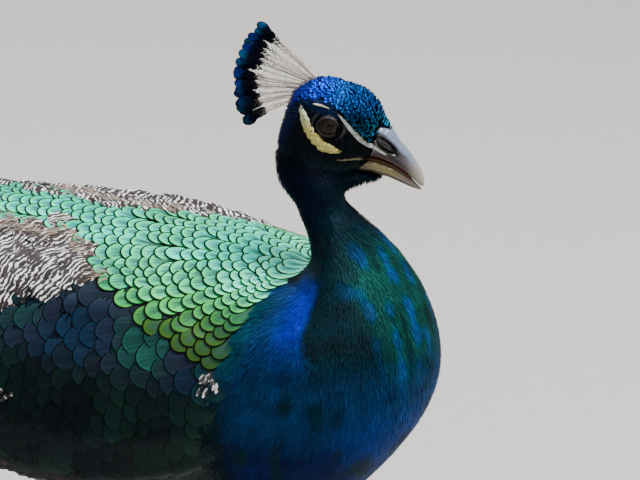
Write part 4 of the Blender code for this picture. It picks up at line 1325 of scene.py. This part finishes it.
def crestPieces():
    plan = crestPlan
    shafts, shaftTint, webs, webTint, webVane, caps, capTint, capVane = ([] for _ in range(8))
    bright = rng.uniform(0, 1, plan["count"])
    along = np.linspace(0, 1, plan["rows"])
    thick = np.interp(along, [0, 0.6, 1], [0.34, 0.24, 0.14])
    ring = np.linspace(0, 2 * math.pi, 5)
    turnCap = np.linspace(0, 2 * math.pi, plan["capCols"])
    reachCap = np.linspace(0, 1, plan["capRows"])[:, None]
    farCap = np.repeat(reachCap.ravel(), plan["capCols"])
    for i in range(plan["count"]):
        share = i / (plan["count"] - 1)
        turn = plan["fan"][0] + (plan["fan"][1] - plan["fan"][0]) * share
        turn = math.radians(turn) + rng.uniform(-0.02, 0.02)
        reach = plan["tip"][0] + (plan["tip"][1] - plan["tip"][0]) * share - rng.uniform(0, 2.4)
        reach += 1.4 * math.sin(math.pi * share)
        leave = plan["leave"][0] + plan["leave"][1] * share ** 1.6  # where it leaves the crown's feathers
        sway = rng.uniform(-2.4, 2.4)
        out = leave + (reach - leave) * along
        bow = rng.uniform(-1.2, 1.2) * np.sin(along * math.pi)
        ahead = np.array([0, math.cos(turn), math.sin(turn)])
        over = np.array([0, -math.sin(turn), math.cos(turn)])
        path = np.array([0, *plan["root"]]) + ahead * out[:, None] + over * bow[:, None]
        path[:, 0] += sway * along
        path[:, 2] -= 5.0 * share ** 3 * along ** 2.2
        hoop = np.cos(ring)[:, None] * over + np.sin(ring)[:, None] * np.array([1.0, 0, 0])
        shafts.append((path[:, None] + thick[:, None, None] * hoop).reshape(-1, 3))
        shaftTint.append(blend(ink("cfc3b4"), ink("0a0808"), smooth(0.5, 0.7, along)).repeat(5, 0))
        shaft = (path, along, ahead, over)
        for k in range(plan["shaftBarbs"]):
            place = rng.uniform(0.12, 0.78)
            size = (1.2 + 2.6 * place) * rng.uniform(0.6, 1.2)
            dark = smooth(0.5, 0.72, place)
            webs.append(crestBarb(shaft, place, (-1, 1)[k % 2], size * (1 + 0.3 * dark), 0.12 + 0.24 * dark,
                                  0.75 + 0.3 * dark, rng.uniform(-0.8, 0.8)))
            webTint.append(blend(ink("a3937f"), ink("05060c"), dark))
            webVane.append([place, 0, rng.random()])
        blade = plan["blade"] / (reach - leave)
        for k in range(plan["barbs"]):
            spot = (k // 2) / (plan["barbs"] // 2 - 1) * 0.72
            place = 1 - blade * (1 - spot)
            size = plan["halfBlade"] * (0.5 + 0.5 * math.sin(math.pi * min(0.62, spot * 0.8 + 0.1)) ** 0.7)
            webs.append(crestBarb(shaft, place, (-1, 1)[k % 2], size * rng.uniform(0.8, 1.15), 0.6,
                                  0.6 + 0.3 * spot, rng.uniform(-1.2, 1.2)))
            shade = smooth(0.45, 0.8, spot) * (1 - 0.75 * smooth(0.55, 0.9, share))
            tone = blend(ink("03040c"), blend(ink("0c2e9a"), ink("156a98"), bright[i]), shade)
            webTint.append(tone * rng.uniform(0.5, 1.3))
            webVane.append([place, 0, rng.random()])
        wide, tall = np.array(plan["cap"]) * rng.uniform(0.85, 1.1)
        tipward, sideward = reachCap * np.cos(turnCap), reachCap * np.sin(turnCap)
        disc = path[-1] - ahead * tall * 0.75 + tipward[..., None] * ahead * tall
        disc = disc + sideward[..., None] * over * wide
        disc[..., 0] += (1.3 * (1 - reachCap ** 2)) * (-1, 1)[i % 2] + rng.uniform(-0.6, 0.6)
        caps.append(disc.reshape(-1, 3))
        rounded = smooth(-0.3, 0.75, tipward.ravel()) * smooth(1.05, 0.75, farCap)
        tone = blend(ink("0a2a98"), ink("1776a4"), bright[i] ** 1.6) * (1 - 0.78 * smooth(0.55, 0.9, share))
        capTint.append(blend(ink("020411"), tone, rounded))
        turns = np.tile(turnCap, plan["capRows"]) * 3
        capVane.append(np.column_stack([farCap, turns, np.full(len(farCap), rng.random())]))
    shafts, webs, caps = np.vstack(shafts), np.vstack(webs), np.vstack(caps)
    shaft = makePiece("crestShafts", fromHead(shafts), gridQuads(plan["count"], plan["rows"], 5), cheekStuff,
                      "neck_plumage", tint=np.vstack(shaftTint), vane=np.zeros((len(shafts), 3)),
                      edge=np.ones(len(shafts)))
    capQuads = gridQuads(plan["count"], plan["capRows"], plan["capCols"])
    makePiece("crestCaps", fromHead(caps), capQuads, crownStuff, "neck_plumage", tint=np.vstack(capTint),
              vane=np.vstack(capVane), edge=np.ones(len(caps)))
    count = len(webTint)
    spot = np.linspace(0.02, 0.98, count)
    makePiece("crestVanes", fromHead(webs), gridQuads(count, 3, 2), crownStuff, "neck_plumage",
              np.stack([np.repeat(spot, 6), np.tile([0.2, 0.2, 0.5, 0.5, 0.8, 0.8], count)], 1),
              tint=np.repeat(webTint, 6, axis=0), vane=np.repeat(webVane, 6, axis=0), edge=np.ones(count * 6))
    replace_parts(shaft, "crest")


crestPieces()


# Dark plumage of the flanks, belly and vent, and buff thighs
floorZ = -neckRoot[2] / mm
bellyPlan = {"spacing": 3.1, "rows": 4, "cols": 3, "outline": "tuft", "length": 17, "width": 3.6,
             "sink": -4.0, "rise": 0.6, "camber": 0.7, "aim": 0.2, "roll": 0.3, "uneven": 0.3, "shift": 0.5}
thighPlan = {"spacing": 2.3, "rows": 4, "cols": 3, "outline": "tuft", "length": 14, "width": 2.8,
             "sink": -3.2, "rise": 0.4, "camber": 0.5, "aim": 0.22, "roll": 0.3, "uneven": 0.3, "shift": 0.4}
softMarks = {"Centre": ink("0a0b0c"), "Rim": ink("0a0b0c"), "Centre Share": 0.1, "Barbs": 6.0, "Slant": 0.5,
             "Streak": 0.4}
bellyStuff = vaneMaterial("bellyPlumage", 0.1, 0.65, softMarks, bump=0.15, Specular_IOR_Level=0.15)
thighMarks = {**softMarks, "Centre": ink("7a6448"), "Streak": 0.5}
thighStuff = vaneMaterial("thighPlumage", 0.0, 0.75, thighMarks, bump=0.2)


def underPlumage():
    keep = ~onWing & ~onThigh & (scaleMargin(middle) < 1.5) & (middle[:, 1] > 52) & (middle[:, 2] < 2)
    roots, normals = scatter(form, bellyPlan["spacing"], keep)
    tint = blend(ink("020b10"), ink("1d1a17"), smooth(150, 260, roots[:, 1]))
    tint = blend(tint, ink("031c1a"), smooth(0.1, 0.8, wander(roots, 40, 21)) * smooth(170, 90, roots[:, 1]))
    tint = tint * rng.uniform(0.6, 1.4, (len(roots), 1))
    flows = flowAt(roots, normals)
    layFeathers("bellyCoat", roots, normals, flows, tint, bellyStuff, "back_plumage", bellyPlan)
    roots, normals = scatter(form, thighPlan["spacing"], onThigh)
    flows = layFlat(np.array([0, 0.22, -1.0]), normals)
    tint = blend(ink("4a3b2a"), ink("a08a66"), smooth(-150, -215, roots[:, 2]))
    tint = tint * rng.uniform(0.7, 1.25, (len(roots), 1))
    layFeathers("thighCoat", roots, normals, flows, tint, thighStuff, "thigh_plumage", thighPlan)


underPlumage()

# Long flight feathers of the folded wings: root and tip (y, z) of the first and last in each set. order is 1
# where each feather lies over the one before, -1 where it lies under it
flightPlan = {
    "primaries": {"count": 8, "root": ((150, -120), (168, -88)), "tip": ((330, -106), (416, -85)),
                  "width": 19, "order": 1, "tone": "7c4420"},
    "secondaries": {"count": 7, "root": ((140, -50), (146, -84)), "tip": ((380, -68), (408, -81)),
                    "width": 26, "order": -1, "tone": "0d1b22"},
    "tertials": {"count": 7, "root": ((128, -12), (140, -46)), "tip": ((292, -30), (368, -66)),
                 "width": 30, "order": -1, "tone": "ffffff"}}
darkFlight = vaneMaterial("flightPlumage", 0.35, 0.42, {
    "Centre": ink("0a0a0c"), "Rim": ink("050505"), "Glow": np.array([1.0, 1.2, 1.1]), "Glow Share": 0.4,
    "Centre Share": 0.2, "Rim Width": 0.8, "Barbs": 60.0, "Slant": 0.12}, bump=0.3, Specular_IOR_Level=0.25)


def flightFeathers(name, plan, side):
    count = plan["count"]
    share = np.linspace(0, 1, count)[:, None]
    (firstRoot, lastRoot), (firstTip, lastTip) = np.array(plan["root"]), np.array(plan["tip"])
    root = firstRoot * (1 - share) + lastRoot * share
    tip = firstTip * (1 - share) + lastTip * share
    outside = np.full((count, 1), -260.0)
    start, normals, met = castOn(form, np.hstack([outside, root]), (1, 0, 0))
    finish, _, met = castOn(form, np.hstack([outside, tip]), (1, 0, 0))
    finish = np.where(met[:, None], finish, np.hstack([np.full((count, 1), -44.0), tip]))
    flows = unit(finish - start)
    length = np.linalg.norm(finish - start, axis=1)
    normals = layFlat(normals, flows)
    lift = (1.6 + plan["order"] * np.arange(count) * 0.7)[:, None, None]
    shape = {"rows": 26, "cols": 9, "outline": "long", "length": length, "width": plan["width"],
             "widthMean": plan["width"], "lengthMean": length.mean(), "sink": -1.5, "rise": lift,
             "camber": 1.6, "uneven": 0.0}
    mirror = np.array([-side, 1, 1])
    stuff = barredStuff if name == "tertials" else darkFlight
    slot = "primary_plumage" if name == "primaries" else "flight_plumage"
    tints = ink(plan["tone"]) * rng.uniform(0.75, 1.15, (count, 1))
    layFeathers(f"{name}_{sideName(side)}", start * mirror, normals * mirror, flows * mirror, tints, stuff,
                slot, shape, drape=form)


for side in (1, -1):
    for name, plan in flightPlan.items():
        flightFeathers(name, plan, side)

# Train: a dark core, a coat of loose barbs, then feathers with eyes in rows from the rump to the floor
trainNodes = ["train_root", "train_upper", "train_middle", "train_lower", "train_end"]
trainPlan = {"cell": 5.0, "inset": 5.0, "first": 372, "last": 1812, "rows": (26, 40, 54),
             "beside": (23, 31, 37), "edge": 0.84, "disc": (8.0, 16.0, 19.5), "back": (70, 190),
             "barbGap": 3.4, "barb": (13, 27), "rays": 34, "shaftRows": 16, "discRows": 9, "discCols": 21}
trainStuff = vaneMaterial("trainBarbs", 0.65, 0.42, {
    "Centre": ink("241a08"), "Rim": ink("120d05"), "Barbs": 3.0, "Slant": 0.3})


# An eye of the train: Spot is across and along from the eye's middle, 1 at its rim
def ocellusGroup():
    tree, take, give = newGroup("ocellus", [
        ("Spot", "Vector"), ("Heart", "Color"), ("Blue", "Color"), ("Bronze", "Color"), ("Gold", "Color"),
        ("Green", "Color")], [("Colour", "Color"), ("Height", "Float")])
    split = addNode(tree, "SeparateXYZ", {0: take["Spot"]}).outputs
    flat = combined(tree, split[0], split[1])
    far = addNode(tree, "VectorMath", {0: flat}, operation="LENGTH").outputs["Value"]
    side = maths(tree, "ABSOLUTE", split[0])
    barb = maths(tree, "SUBTRACT", times(tree, split[1], 16.0), times(tree, side, 13.0))
    grain = speckle(tree, 1.0, 2.0, combined(tree, barb, times(tree, split[2], 31.0)))
    shaken = plus(tree, far, times(tree, maths(tree, "SUBTRACT", grain, 0.5), 0.07))
    notch = times(tree, ranged(tree, side, 0.0, 0.2, 1.0, 0.0), ranged(tree, split[1], 0.02, 0.3))
    heart = plus(tree, shaken, times(tree, notch, 0.2))
    tone = mixed(tree, ranged(tree, heart, 0.29, 0.34), take["Heart"], take["Blue"])
    tone = mixed(tree, ranged(tree, shaken, 0.46, 0.53), tone, take["Bronze"])
    tone = mixed(tree, ranged(tree, shaken, 0.74, 0.79), tone, take["Gold"])
    tone = mixed(tree, ranged(tree, shaken, 0.84, 0.9), tone, take["Green"])
    feed(tree, give["Colour"], mixed(tree, ranged(tree, grain, 0.3, 0.62, 0.45, 0.0), tone, np.zeros(3)))
    feed(tree, give["Height"], grain)


ocellusGroup()
eyeSpotStuff = tintedMaterial("trainEyes", 0.5, 0.42, "ocellus", "Height", lambda tree: {
    "Spot": reading(tree, "vane", "Vector"), "Heart": ink("0d0a42"), "Blue": ink("0c8496"),
    "Bronze": ink("84501f"), "Gold": ink("8f8a34"), "Green": ink("40672a")})


def trainSurface():
    mesh, points, faces = weldSmooth(trainNodes, 0.8, trainPlan["cell"], 12)
    surface = surfaceOf(points, faces)
    core = points - surface["normals"] * trainPlan["inset"]
    front = smooth(372, 318, points[:, 1])[:, None]  # the core's front end is buried in the rump
    level = np.interp(points[:, 1], [232, 330, 450], [-30, -42, -58])
    heart = np.stack([0 * points[:, 0], points[:, 1], level], 1)
    core = core + (heart - points) * front * (0.5, 0, 0.75) + (points - core) * front
    core[:, 2] = np.maximum(core[:, 2], floorZ + 0.8)
    reshape(mesh, core)
    tint = blend(ink("1c2a12"), ink("3a2c14"), smooth(-0.5, 0.6, wander(points, 60, 81)))
    made, tree, sockets = newMaterial("trainCore", 0.1, 0.8, Specular_IOR_Level=0.1)
    where = addNode(tree, "TexCoord").outputs["Object"]
    streaks = addNode(tree, "Mapping", {"Vector": where, "Scale": np.array([900.0, 40.0, 900.0])})
    grain = speckle(tree, 1.0, 3.0, streaks.outputs[0])
    feed(tree, sockets["Base Color"], mixed(tree, grain, reading(tree, "tint"), ink("0a0c06")))
    bumped(tree, sockets, grain, 0.6, 0.001)
    piece = finishPiece("trainCore", mesh, made, "train_plumage", tint=tint)
    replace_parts(piece, *trainNodes)
    return surface


trainForm = trainSurface()
trainHalf = {"y": [232, 330, 450, 610, 800, 1000, 1200, 1360, 1500, 1630, 1740, 1815, 1842],
             "half": [46, 62, 75, 90, 105, 121, 135, 143, 147, 142, 126, 88, 40],
             "level": [-10, -33, -57, -90, -145, -220, -303, -367, -409, -424, -426, -427, -428]}


def halfAt(y):
    return np.interp(y, trainHalf["y"], trainHalf["half"])


# Points of the train's upper side under each (x, y), with the way up
def onTrain(x, y):
    start = np.stack(np.broadcast_arrays(x, y, 60.0), -1)
    points, normals, met = castOn(trainForm, start.reshape(-1, 3), (0, 0, -1))
    start[..., 2] = np.interp(start[..., 1], trainHalf["y"], trainHalf["level"])  # for those beside the train
    near, upward = landOn(trainForm, np.where(met[:, None], points, start.reshape(-1, 3)))
    points, normals = np.where(met[:, None], points, near), np.where(met[:, None], normals, upward)
    return points.reshape(start.shape), normals.reshape(start.shape)


# Where the train's feathers end: share of the width, y, and 0 to 1 from the first row to the last
def trainTips():
    found, y, row = [], trainPlan["first"], 0
    while y < trainPlan["last"]:
        age = (y - trainPlan["first"]) / (trainPlan["last"] - trainPlan["first"])
        half = halfAt(y) * trainPlan["edge"]
        count = max(3, round(2 * half / np.interp(age, [0, 0.5, 1], trainPlan["beside"])))
        shares = (np.arange(count) + 0.5 * (row % 2) + 0.25) / count * 2 - 1
        for share in shares:
            aside = share + rng.uniform(-0.04, 0.04)
            found.append((aside, y + rng.uniform(-0.3, 0.3) * 24 - 20 * share ** 2, age))
        y += np.interp(age, [0, 0.5, 1], trainPlan["rows"])
        row += 1
    return np.array(found)


# Along and across at the six points of a barb's strip: root, middle and tip, each pair one width apart
barbCorners = [[0, -1, 0], [0, 1, 0], [0.5, -1, 0], [0.5, 1, 0], [1, -0.3, 0], [1, 0.3, 0]]


def stripRows(root, bend, tip, upward, width):
    broad = np.cross(upward, unit(tip - root)) * width / 2
    rows = [root - broad, root + broad, bend - broad, bend + broad, tip - broad * 0.3, tip + broad * 0.3]
    return np.stack(rows, -2).reshape(-1, 3)


def trainBarbTint(points, draw):
    tone = layered(ink("4d7a33"), ("8f7428", smooth(-0.3, 0.8, wander(points, 90, 85)) * 0.8),
                   ("1f8a5c", smooth(0.2, 0.9, wander(points, 60, 86)) * 0.7))
    return tone * (0.5 + draw)[:, None]


coatPlan = {"spacing": 6.2, "last": 1735, "rows": 5, "cols": 2, "length": 52, "width": 1.9, "sink": -4.0,
            "rise": 0.5, "curl": -0.5, "aim": 0.28, "roll": 0.5, "uneven": 0.35, "shift": 0.8}
fringePlan = {**coatPlan, "spacing": 3.2, "first": 1660, "fanFrom": 1640, "length": 34, "width": 1.5,
              "sink": -5.0, "rise": -0.6, "curl": 0.0}


def trainUvs(roots):
    return np.stack([roots[:, 1] / 1900, roots[:, 0] / 320 + 0.5], 1)


def trainCoat():
    middles = middlesOf(trainForm)
    roots, normals = scatter(trainForm, coatPlan["spacing"], np.ones(len(middles), bool))
    keep = (roots[:, 2] > floorZ + 3) | (normals[:, 2] > -0.3)
    roots, normals = roots[keep], normals[keep]
    half = halfAt(roots[:, 1])
    drop = np.where(np.abs(roots[:, 0]) > half * 0.7, -0.12, 0.0)
    flows = layFlat(np.stack([roots[:, 0] / half * 0.22, np.ones(len(roots)), drop], 1), normals)
    tint = trainBarbTint(roots, rng.random(len(roots))) * 0.6
    early = roots[:, 1] <= coatPlan["last"]
    layFeathers("trainCoat", roots[early], normals[early], flows[early], tint[early], trainStuff,
                "train_plumage", coatPlan, drape=trainForm, spot=trainUvs(roots[early]))
    roots, normals = scatter(trainForm, fringePlan["spacing"], middles[:, 1] > fringePlan["first"])
    flows = unit(np.column_stack([roots[:, 0], roots[:, 1] - fringePlan["fanFrom"], np.zeros(len(roots))]))
    flows = unit(flows - normals * (flows * normals).sum(1, keepdims=True) * 0.9)
    tint = trainBarbTint(roots, rng.random(len(roots))) * 0.75
    layFeathers("trainFringe", roots, normals, flows, tint, trainStuff, "train_plumage", fringePlan,
                spot=trainUvs(roots))


# Small bronze-green scale feathers where the train leaves the back
rumpPlan = {"spacing": 8.2, "rows": 9, "cols": 9, "outline": "scale", "lengthMean": 28, "widthMean": 15,
            "sink": -2.0, "rise": 1.6, "camber": 0.6, "aim": 0.12, "uneven": 0.1, "shift": 0.4}


def rumpScales():
    _, y, z = middlesOf(trainForm).T
    roots, normals = scatter(trainForm, rumpPlan["spacing"], (y < 420) & (y > 300) & (z > -52))
    flows = np.column_stack([roots[:, 0] * 0.004, np.ones(len(roots)), np.zeros(len(roots))])
    flows = layFlat(flows, normals)
    grown = smooth(240, 420, roots[:, 1])
    plan = {**rumpPlan, "length": 22 + 16 * grown, "width": 13 + 7 * grown}
    tint = blend(ink("3fb48c"), ink("7d8a34"), smooth(250, 350, roots[:, 1]))
    tint = tint * rng.uniform(0.7, 1.2, (len(roots), 1))
    layFeathers("rumpScales", roots, normals, flows, tint, mantleStuff, "train_plumage", plan,
                drape=trainForm)


# Keeps spots within the train's outline
def withinTrain(spots):
    limit = halfAt(spots[:, 1]) * 1.03
    spots[:, 0] = np.clip(spots[:, 0], -limit, limit)
    return spots


# Each feather: a shaft with loose barbs, a disc for its eye, and rays of barbs round the disc
def trainFeathers():
    plan = trainPlan
    tips = trainTips()
    strips, stripTone, shafts, discs, discVane, discTone = ([] for _ in range(6))
    size = np.interp(tips[:, 2], [0, 0.35, 1], plan["disc"])
    steps = np.linspace(0, 1, plan["shaftRows"])
    ring = np.linspace(0, 2 * math.pi, plan["discCols"])
    reach = np.linspace(0, 1, plan["discRows"])[:, None] ** 0.8
    across = reach * np.sin(ring) * (1 - 0.1 * np.cos(ring))
    ahead = reach * np.cos(ring)
    for (share, tipY, age), radius in zip(tips, size):
        discY = tipY - radius * 1.9
        back = np.interp(age, [0, 1], plan["back"])
        lift = rng.uniform(0.0, 0.8)
        y = np.linspace(discY - back, discY, len(steps))
        line, upward = onTrain(share * halfAt(y) * np.linspace(0.94, 1, len(steps)), y)
        line = line + upward * (np.linspace(-3.5, 1.1, len(steps)) + lift)[:, None]
        broad = unit(np.cross(np.gradient(line, axis=0), upward)) * np.linspace(1.1, 0.5, len(steps))[:, None]
        shafts.append(np.stack([line - broad, line + broad], 1).reshape(-1, 3))
        count = int(back * 0.86 / plan["barbGap"])
        at = np.repeat(np.linspace(0.14, 0.985, count), 2)
        way = np.tile([-1.0, 1.0], count)
        place = np.stack([np.interp(at, steps, column) for column in line.T], 1)
        long = np.interp(age, [0, 1], plan["barb"]) * rng.uniform(0.8, 1.15, len(at))
        lean = rng.uniform(0.62, 0.95, len(at))
        tipSpot = place[:, :2] + np.stack([way * long * np.cos(lean) * 0.8, long * np.sin(lean) + 6], 1)
        middleSpot = place[:, :2] * 0.5 + tipSpot * 0.5 + np.stack([way * long * 0.10, np.zeros(len(at))], 1)
        tip, tipUp = onTrain(*withinTrain(tipSpot).T)
        bend, bendUp = onTrain(*middleSpot.T)
        height = (-2.6 + 4.0 * at + lift)[:, None]
        tip = tip + tipUp * (height + 0.1 - 0.8 * rng.random((len(at), 1)))
        strips.append(stripRows(place, bend + bendUp * (height + 0.5), tip, bendUp, 1.15))
        stripTone.append(trainBarbTint(place, rng.random(len(at))))
        centre = line[-1, :2] + (0, radius * 0.8)
        spots, out = onTrain(centre[0] + across * radius, centre[1] + ahead * radius * 1.12)
        cup = 1.9 + lift - 0.9 * reach[..., None] ** 2 + 0.35 * ahead[..., None]
        discs.append((spots + out * cup).reshape(-1, 3))
        discVane.append(np.stack(np.broadcast_arrays(across, ahead, rng.random()), -1).reshape(-1, 3))
        discTone.append(np.full((across.size, 3), rng.uniform(0.75, 1.1)))
        rays = np.linspace(-2.5, 2.5, plan["rays"]) + rng.uniform(-0.03, 0.03, plan["rays"])
        start = centre + np.stack([np.sin(rays), 1.12 * np.cos(rays)], 1) * radius * 0.86
        longRay = radius * rng.uniform(0.55, 0.9, plan["rays"])
        end = start + np.stack([np.sin(rays * 0.86), np.cos(rays * 0.86)], 1) * longRay[:, None]
        root, rootUp = onTrain(*start.T)
        tip, tipUp = onTrain(*withinTrain(end).T)
        bend = (root + tip) / 2 + rootUp * (1.2 + lift)
        tip = tip + tipUp * (0.6 + lift)
        strips.append(stripRows(root + rootUp * (1.3 + lift), bend, tip, rootUp, 1.5))
        stripTone.append(trainBarbTint(root, rng.random(plan["rays"])))
    trainBarbs(np.vstack(strips), np.vstack(stripTone))
    shafts, discs, discVane = np.vstack(shafts), np.vstack(discs), np.vstack(discVane)
    makePiece("trainShafts", shafts, gridQuads(len(tips), len(steps), 2), trainStuff, "train_plumage",
              tint=np.tile(ink("b59c78"), (len(shafts), 1)), vane=np.zeros((len(shafts), 3)),
              edge=np.ones(len(shafts)))
    discQuads = gridQuads(len(tips), plan["discRows"], plan["discCols"])
    makePiece("trainEyes", discs, discQuads, eyeSpotStuff, "train_plumage", discUvs(discVane, len(tips)),
              tint=np.vstack(discTone), vane=discVane)


# The barbs in two pieces, one for each half of the train's feathers
def trainBarbs(points, tone):
    cut = len(tone) // 2
    for name, first, last in (("trainBarbsUpper", 0, cut), ("trainBarbsLower", cut, len(tone))):
        own, count = points[first * 6:last * 6], last - first
        middles = own.reshape(-1, 6, 3).mean(1)
        along, across = np.array([[0, 0], [0.5, 0.5], [1, 1.0]]), np.array([[-1, 1.0]] * 3)
        uvs = patchUvs(middles, along, across, middles[:, 1::-1])
        makePiece(name, own, gridQuads(count, 3, 2), trainStuff, "train_plumage", uvs,
                  tint=np.repeat(tone[first:last], 6, axis=0), vane=np.tile(barbCorners, (count, 1)),
                  edge=np.ones(count * 6))


# The eyes' map: one square for each, side by side
def discUvs(vane, count):
    side = math.ceil(math.sqrt(count))
    number = np.repeat(np.arange(count), len(vane) // count)
    corner = np.stack([number % side, number // side], 1) + 0.5
    return (corner + vane[:, :2] * 0.45) / side


trainCoat()
rumpScales()
trainFeathers()


# Tail under the train
tailPlan = {"count": 14, "start": 302, "length": 408, "spread": (20, 46), "width": 24, "below": -400}


def tailFeathers():
    mesh, points, faces = weldSmooth(["tail"], 0.2, 3.0, 4)
    surface = surfaceOf(points, faces)
    count = tailPlan["count"]
    share = np.linspace(-1, 1, count)
    below = np.full(count, float(tailPlan["below"]))
    start = np.full(count, tailPlan["start"])
    finish = tailPlan["start"] + tailPlan["length"] - 10 * share ** 2
    aside = [share * spread for spread in tailPlan["spread"]]
    roots, normals, _ = castOn(surface, np.stack([aside[0], start, below], 1), (0, 0, 1))
    ends = castOn(surface, np.stack([aside[1], finish, below], 1), (0, 0, 1))[0]
    flows = unit(ends - roots)
    shape = {"rows": 30, "cols": 9, "outline": "long", "length": np.linalg.norm(ends - roots, axis=1),
             "width": tailPlan["width"], "widthMean": tailPlan["width"], "lengthMean": 400, "sink": -0.4,
             "camber": 0.8, "uneven": 0.0, "rise": (0.2 + 0.5 * (1 - np.abs(share)) * 2)[:, None, None]}
    tints = ink("5a4632") * rng.uniform(0.8, 1.15, (count, 1))
    layFeathers("tailFeathers", roots, normals, flows, tints, darkFlight, "tail_plumage", shape,
                drape=surface)
    reshape(mesh, points - surface["normals"] * 0.8, rounded=False)
    made = speckledMaterial("tailCore", 0.65, (300.0, 4.0), ink("4a3826"), ink("2e2217"))
    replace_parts(finishPiece("tailCore", mesh, made, "tail_plumage"), "tail")


tailFeathers()

# Legs: scutes in front, net-like scales behind, banded toes
legPlan = {"cell": 0.85, "apart": 46, "hock": (150, 152), "ankle": (116, 19), "scute": 4.6, "toeBand": 3.4}
legStuff, legTree, legSockets = newMaterial("legScales", 0.0, 0.5)


def legMaterial():
    feeds = {"Vector": addNode(legTree, "TexCoord").outputs["Object"], "Scale": 480.0}
    cells = addNode(legTree, "TexVoronoi", feeds, feature="DISTANCE_TO_EDGE").outputs["Distance"]
    gaps = ranged(legTree, cells, 0.0, 0.12)
    tone = mottled(legTree, speckle(legTree, 500.0, 3.0), ink("a39684"))
    feed(legTree, legSockets["Base Color"], mixed(legTree, gaps, ink("3a3128"), tone))
    bumped(legTree, legSockets, gaps, 0.4, 0.0004)


legMaterial()


# 0 in the gap between two bands, 1 on the band
def banded(along, gap):
    return 1 - np.abs((along / gap) % 1 * 2 - 1) ** 4


def leg(label):
    mesh, points, faces = weldSmooth([f"shank_{label}", f"foot_{label}"], 0.25, legPlan["cell"], 5)
    normals = surfaceOf(points, faces)["normals"]
    hock, ankle = (np.array([0, legPlan[key][0], floorZ + legPlan[key][1]]) for key in ("hock", "ankle"))
    bands = banded((points - hock) @ unit(ankle - hock), legPlan["scute"])
    foot = np.array([legPlan["apart"] if label == "left" else -legPlan["apart"], legPlan["ankle"][0]])
    toes = banded(np.linalg.norm(points[:, :2] - foot, axis=1), legPlan["toeBand"])
    high = points[:, 2] - floorZ
    onShank = smooth(17, 26, high)
    inFront = smooth(0.0, 0.5, -normals[:, 1])
    rise = onShank * bands * 0.35 * inFront + (1 - onShank) * toes * 0.3 * smooth(0.2, 0.7, normals[:, 2])
    rise += 0.12 * wander(points, 2.6, 91) * smooth(0.0, 0.5, 1 + normals[:, 1])
    lift = normals * (rise - 0.2)[:, None]
    lift[high < 1.0] = 0
    points = points + lift
    points[:, 2] = np.maximum(points[:, 2], floorZ)
    reshape(mesh, points)
    mark = np.maximum(onShank * inFront * (1 - bands), (1 - onShank) * (1 - toes) * 0.8)
    tint = blend(ink("83786a"), ink("3b332b"), mark * 0.8)
    piece = finishPiece("leg_" + label, mesh, legStuff, "leg_skin", tint=tint)
    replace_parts(piece, f"shank_{label}", f"foot_{label}")


def hornBit(node, label):
    mesh, points, _ = weldSmooth([node], 0.0, 0.4, 5)
    points[:, 2] = np.maximum(points[:, 2], floorZ)
    reshape(mesh, points)
    tint = ink("4d443b") * (1 + 0.2 * wander(points * (1, 1, 0.4), 4, 95))[:, None]
    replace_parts(finishPiece(label, mesh, hornStuff, "horn", tint=tint), node)


for label in ("left", "right"):
    leg(label)
    hornBit(f"spur_{label}", f"spur.{label}")
    for toe in ("middle", "inner", "outer", "hind"):
        hornBit(f"claw_{toe}_{label}", f"claw.{toe}.{label}")


# Camera, floor and light
viewPlan = {"turn": 300, "rise": 22, "distance": 2.0, "widthAtNeck": 0.3648, "shiftRight": 0.0023,
            "shiftUp": 0.016}


def aimAt(thing, target):
    thing.rotation_euler = (Vector(target) - thing.location).to_track_quat("-Z", "Y").to_euler()


def cameraAndFloor():
    turn, rise = math.radians(viewPlan["turn"]), math.radians(viewPlan["rise"])
    toward = np.array([math.sin(turn) * math.cos(rise), -math.cos(turn) * math.cos(rise), math.sin(rise)])
    right = np.array([math.cos(turn), math.sin(turn), 0])
    up = np.cross(toward, right)
    aim = neckRoot + right * viewPlan["shiftRight"] + up * viewPlan["shiftUp"]
    lens = bpy.data.cameras.new("camera")
    lens.sensor_width = 36
    lens.lens = 36 / viewPlan["widthAtNeck"] * viewPlan["distance"]
    lens.clip_start = 0.05
    camera = bpy.data.objects.new("camera", lens)
    camera.location = Vector(aim + toward * viewPlan["distance"])
    scene.collection.objects.link(camera)
    aimAt(camera, aim)
    scene.camera = camera
    bm = bmesh.new()
    bmesh.ops.create_grid(bm, x_segments=8, y_segments=8, size=14)
    mesh = bpy.data.meshes.new("floor")
    bm.to_mesh(mesh)
    bm.free()
    mesh.materials.append(speckledMaterial("paleFloor", 0.8, (60.0, 4.0), ink("d8d4cc"), ink("e0ddd6")))
    floor = bpy.data.objects.new("floor", mesh)
    scene.collection.objects.link(floor)


lightPlan = {"keyLight": {"place": (0.3, -1.0, 2.3), "size": 1.0, "power": 110},
             "fillLight": {"place": (-2.4, -0.9, 1.0), "size": 2.0, "power": 12},
             "backLight": {"place": (0.8, 2.0, 1.9), "size": 1.6, "power": 35}}


def studioLight():
    middle = Vector(neckRoot)
    for name, plan in lightPlan.items():
        lamp = bpy.data.lights.new(name, "AREA")
        lamp.energy = plan["power"]
        lamp.size = plan["size"]
        light = bpy.data.objects.new(name, lamp)
        light.location = middle + Vector(plan["place"])
        light.visible_glossy = name != "fillLight"
        scene.collection.objects.link(light)
        aimAt(light, middle)
    world = bpy.data.worlds.new("studio")
    world.use_nodes = True
    sky = world.node_tree.nodes["Background"].inputs
    sky["Color"].default_value = (0.86, 0.88, 0.92, 1)
    sky["Strength"].default_value = 0.5
    scene.world = world


cameraAndFloor()
studioLight()
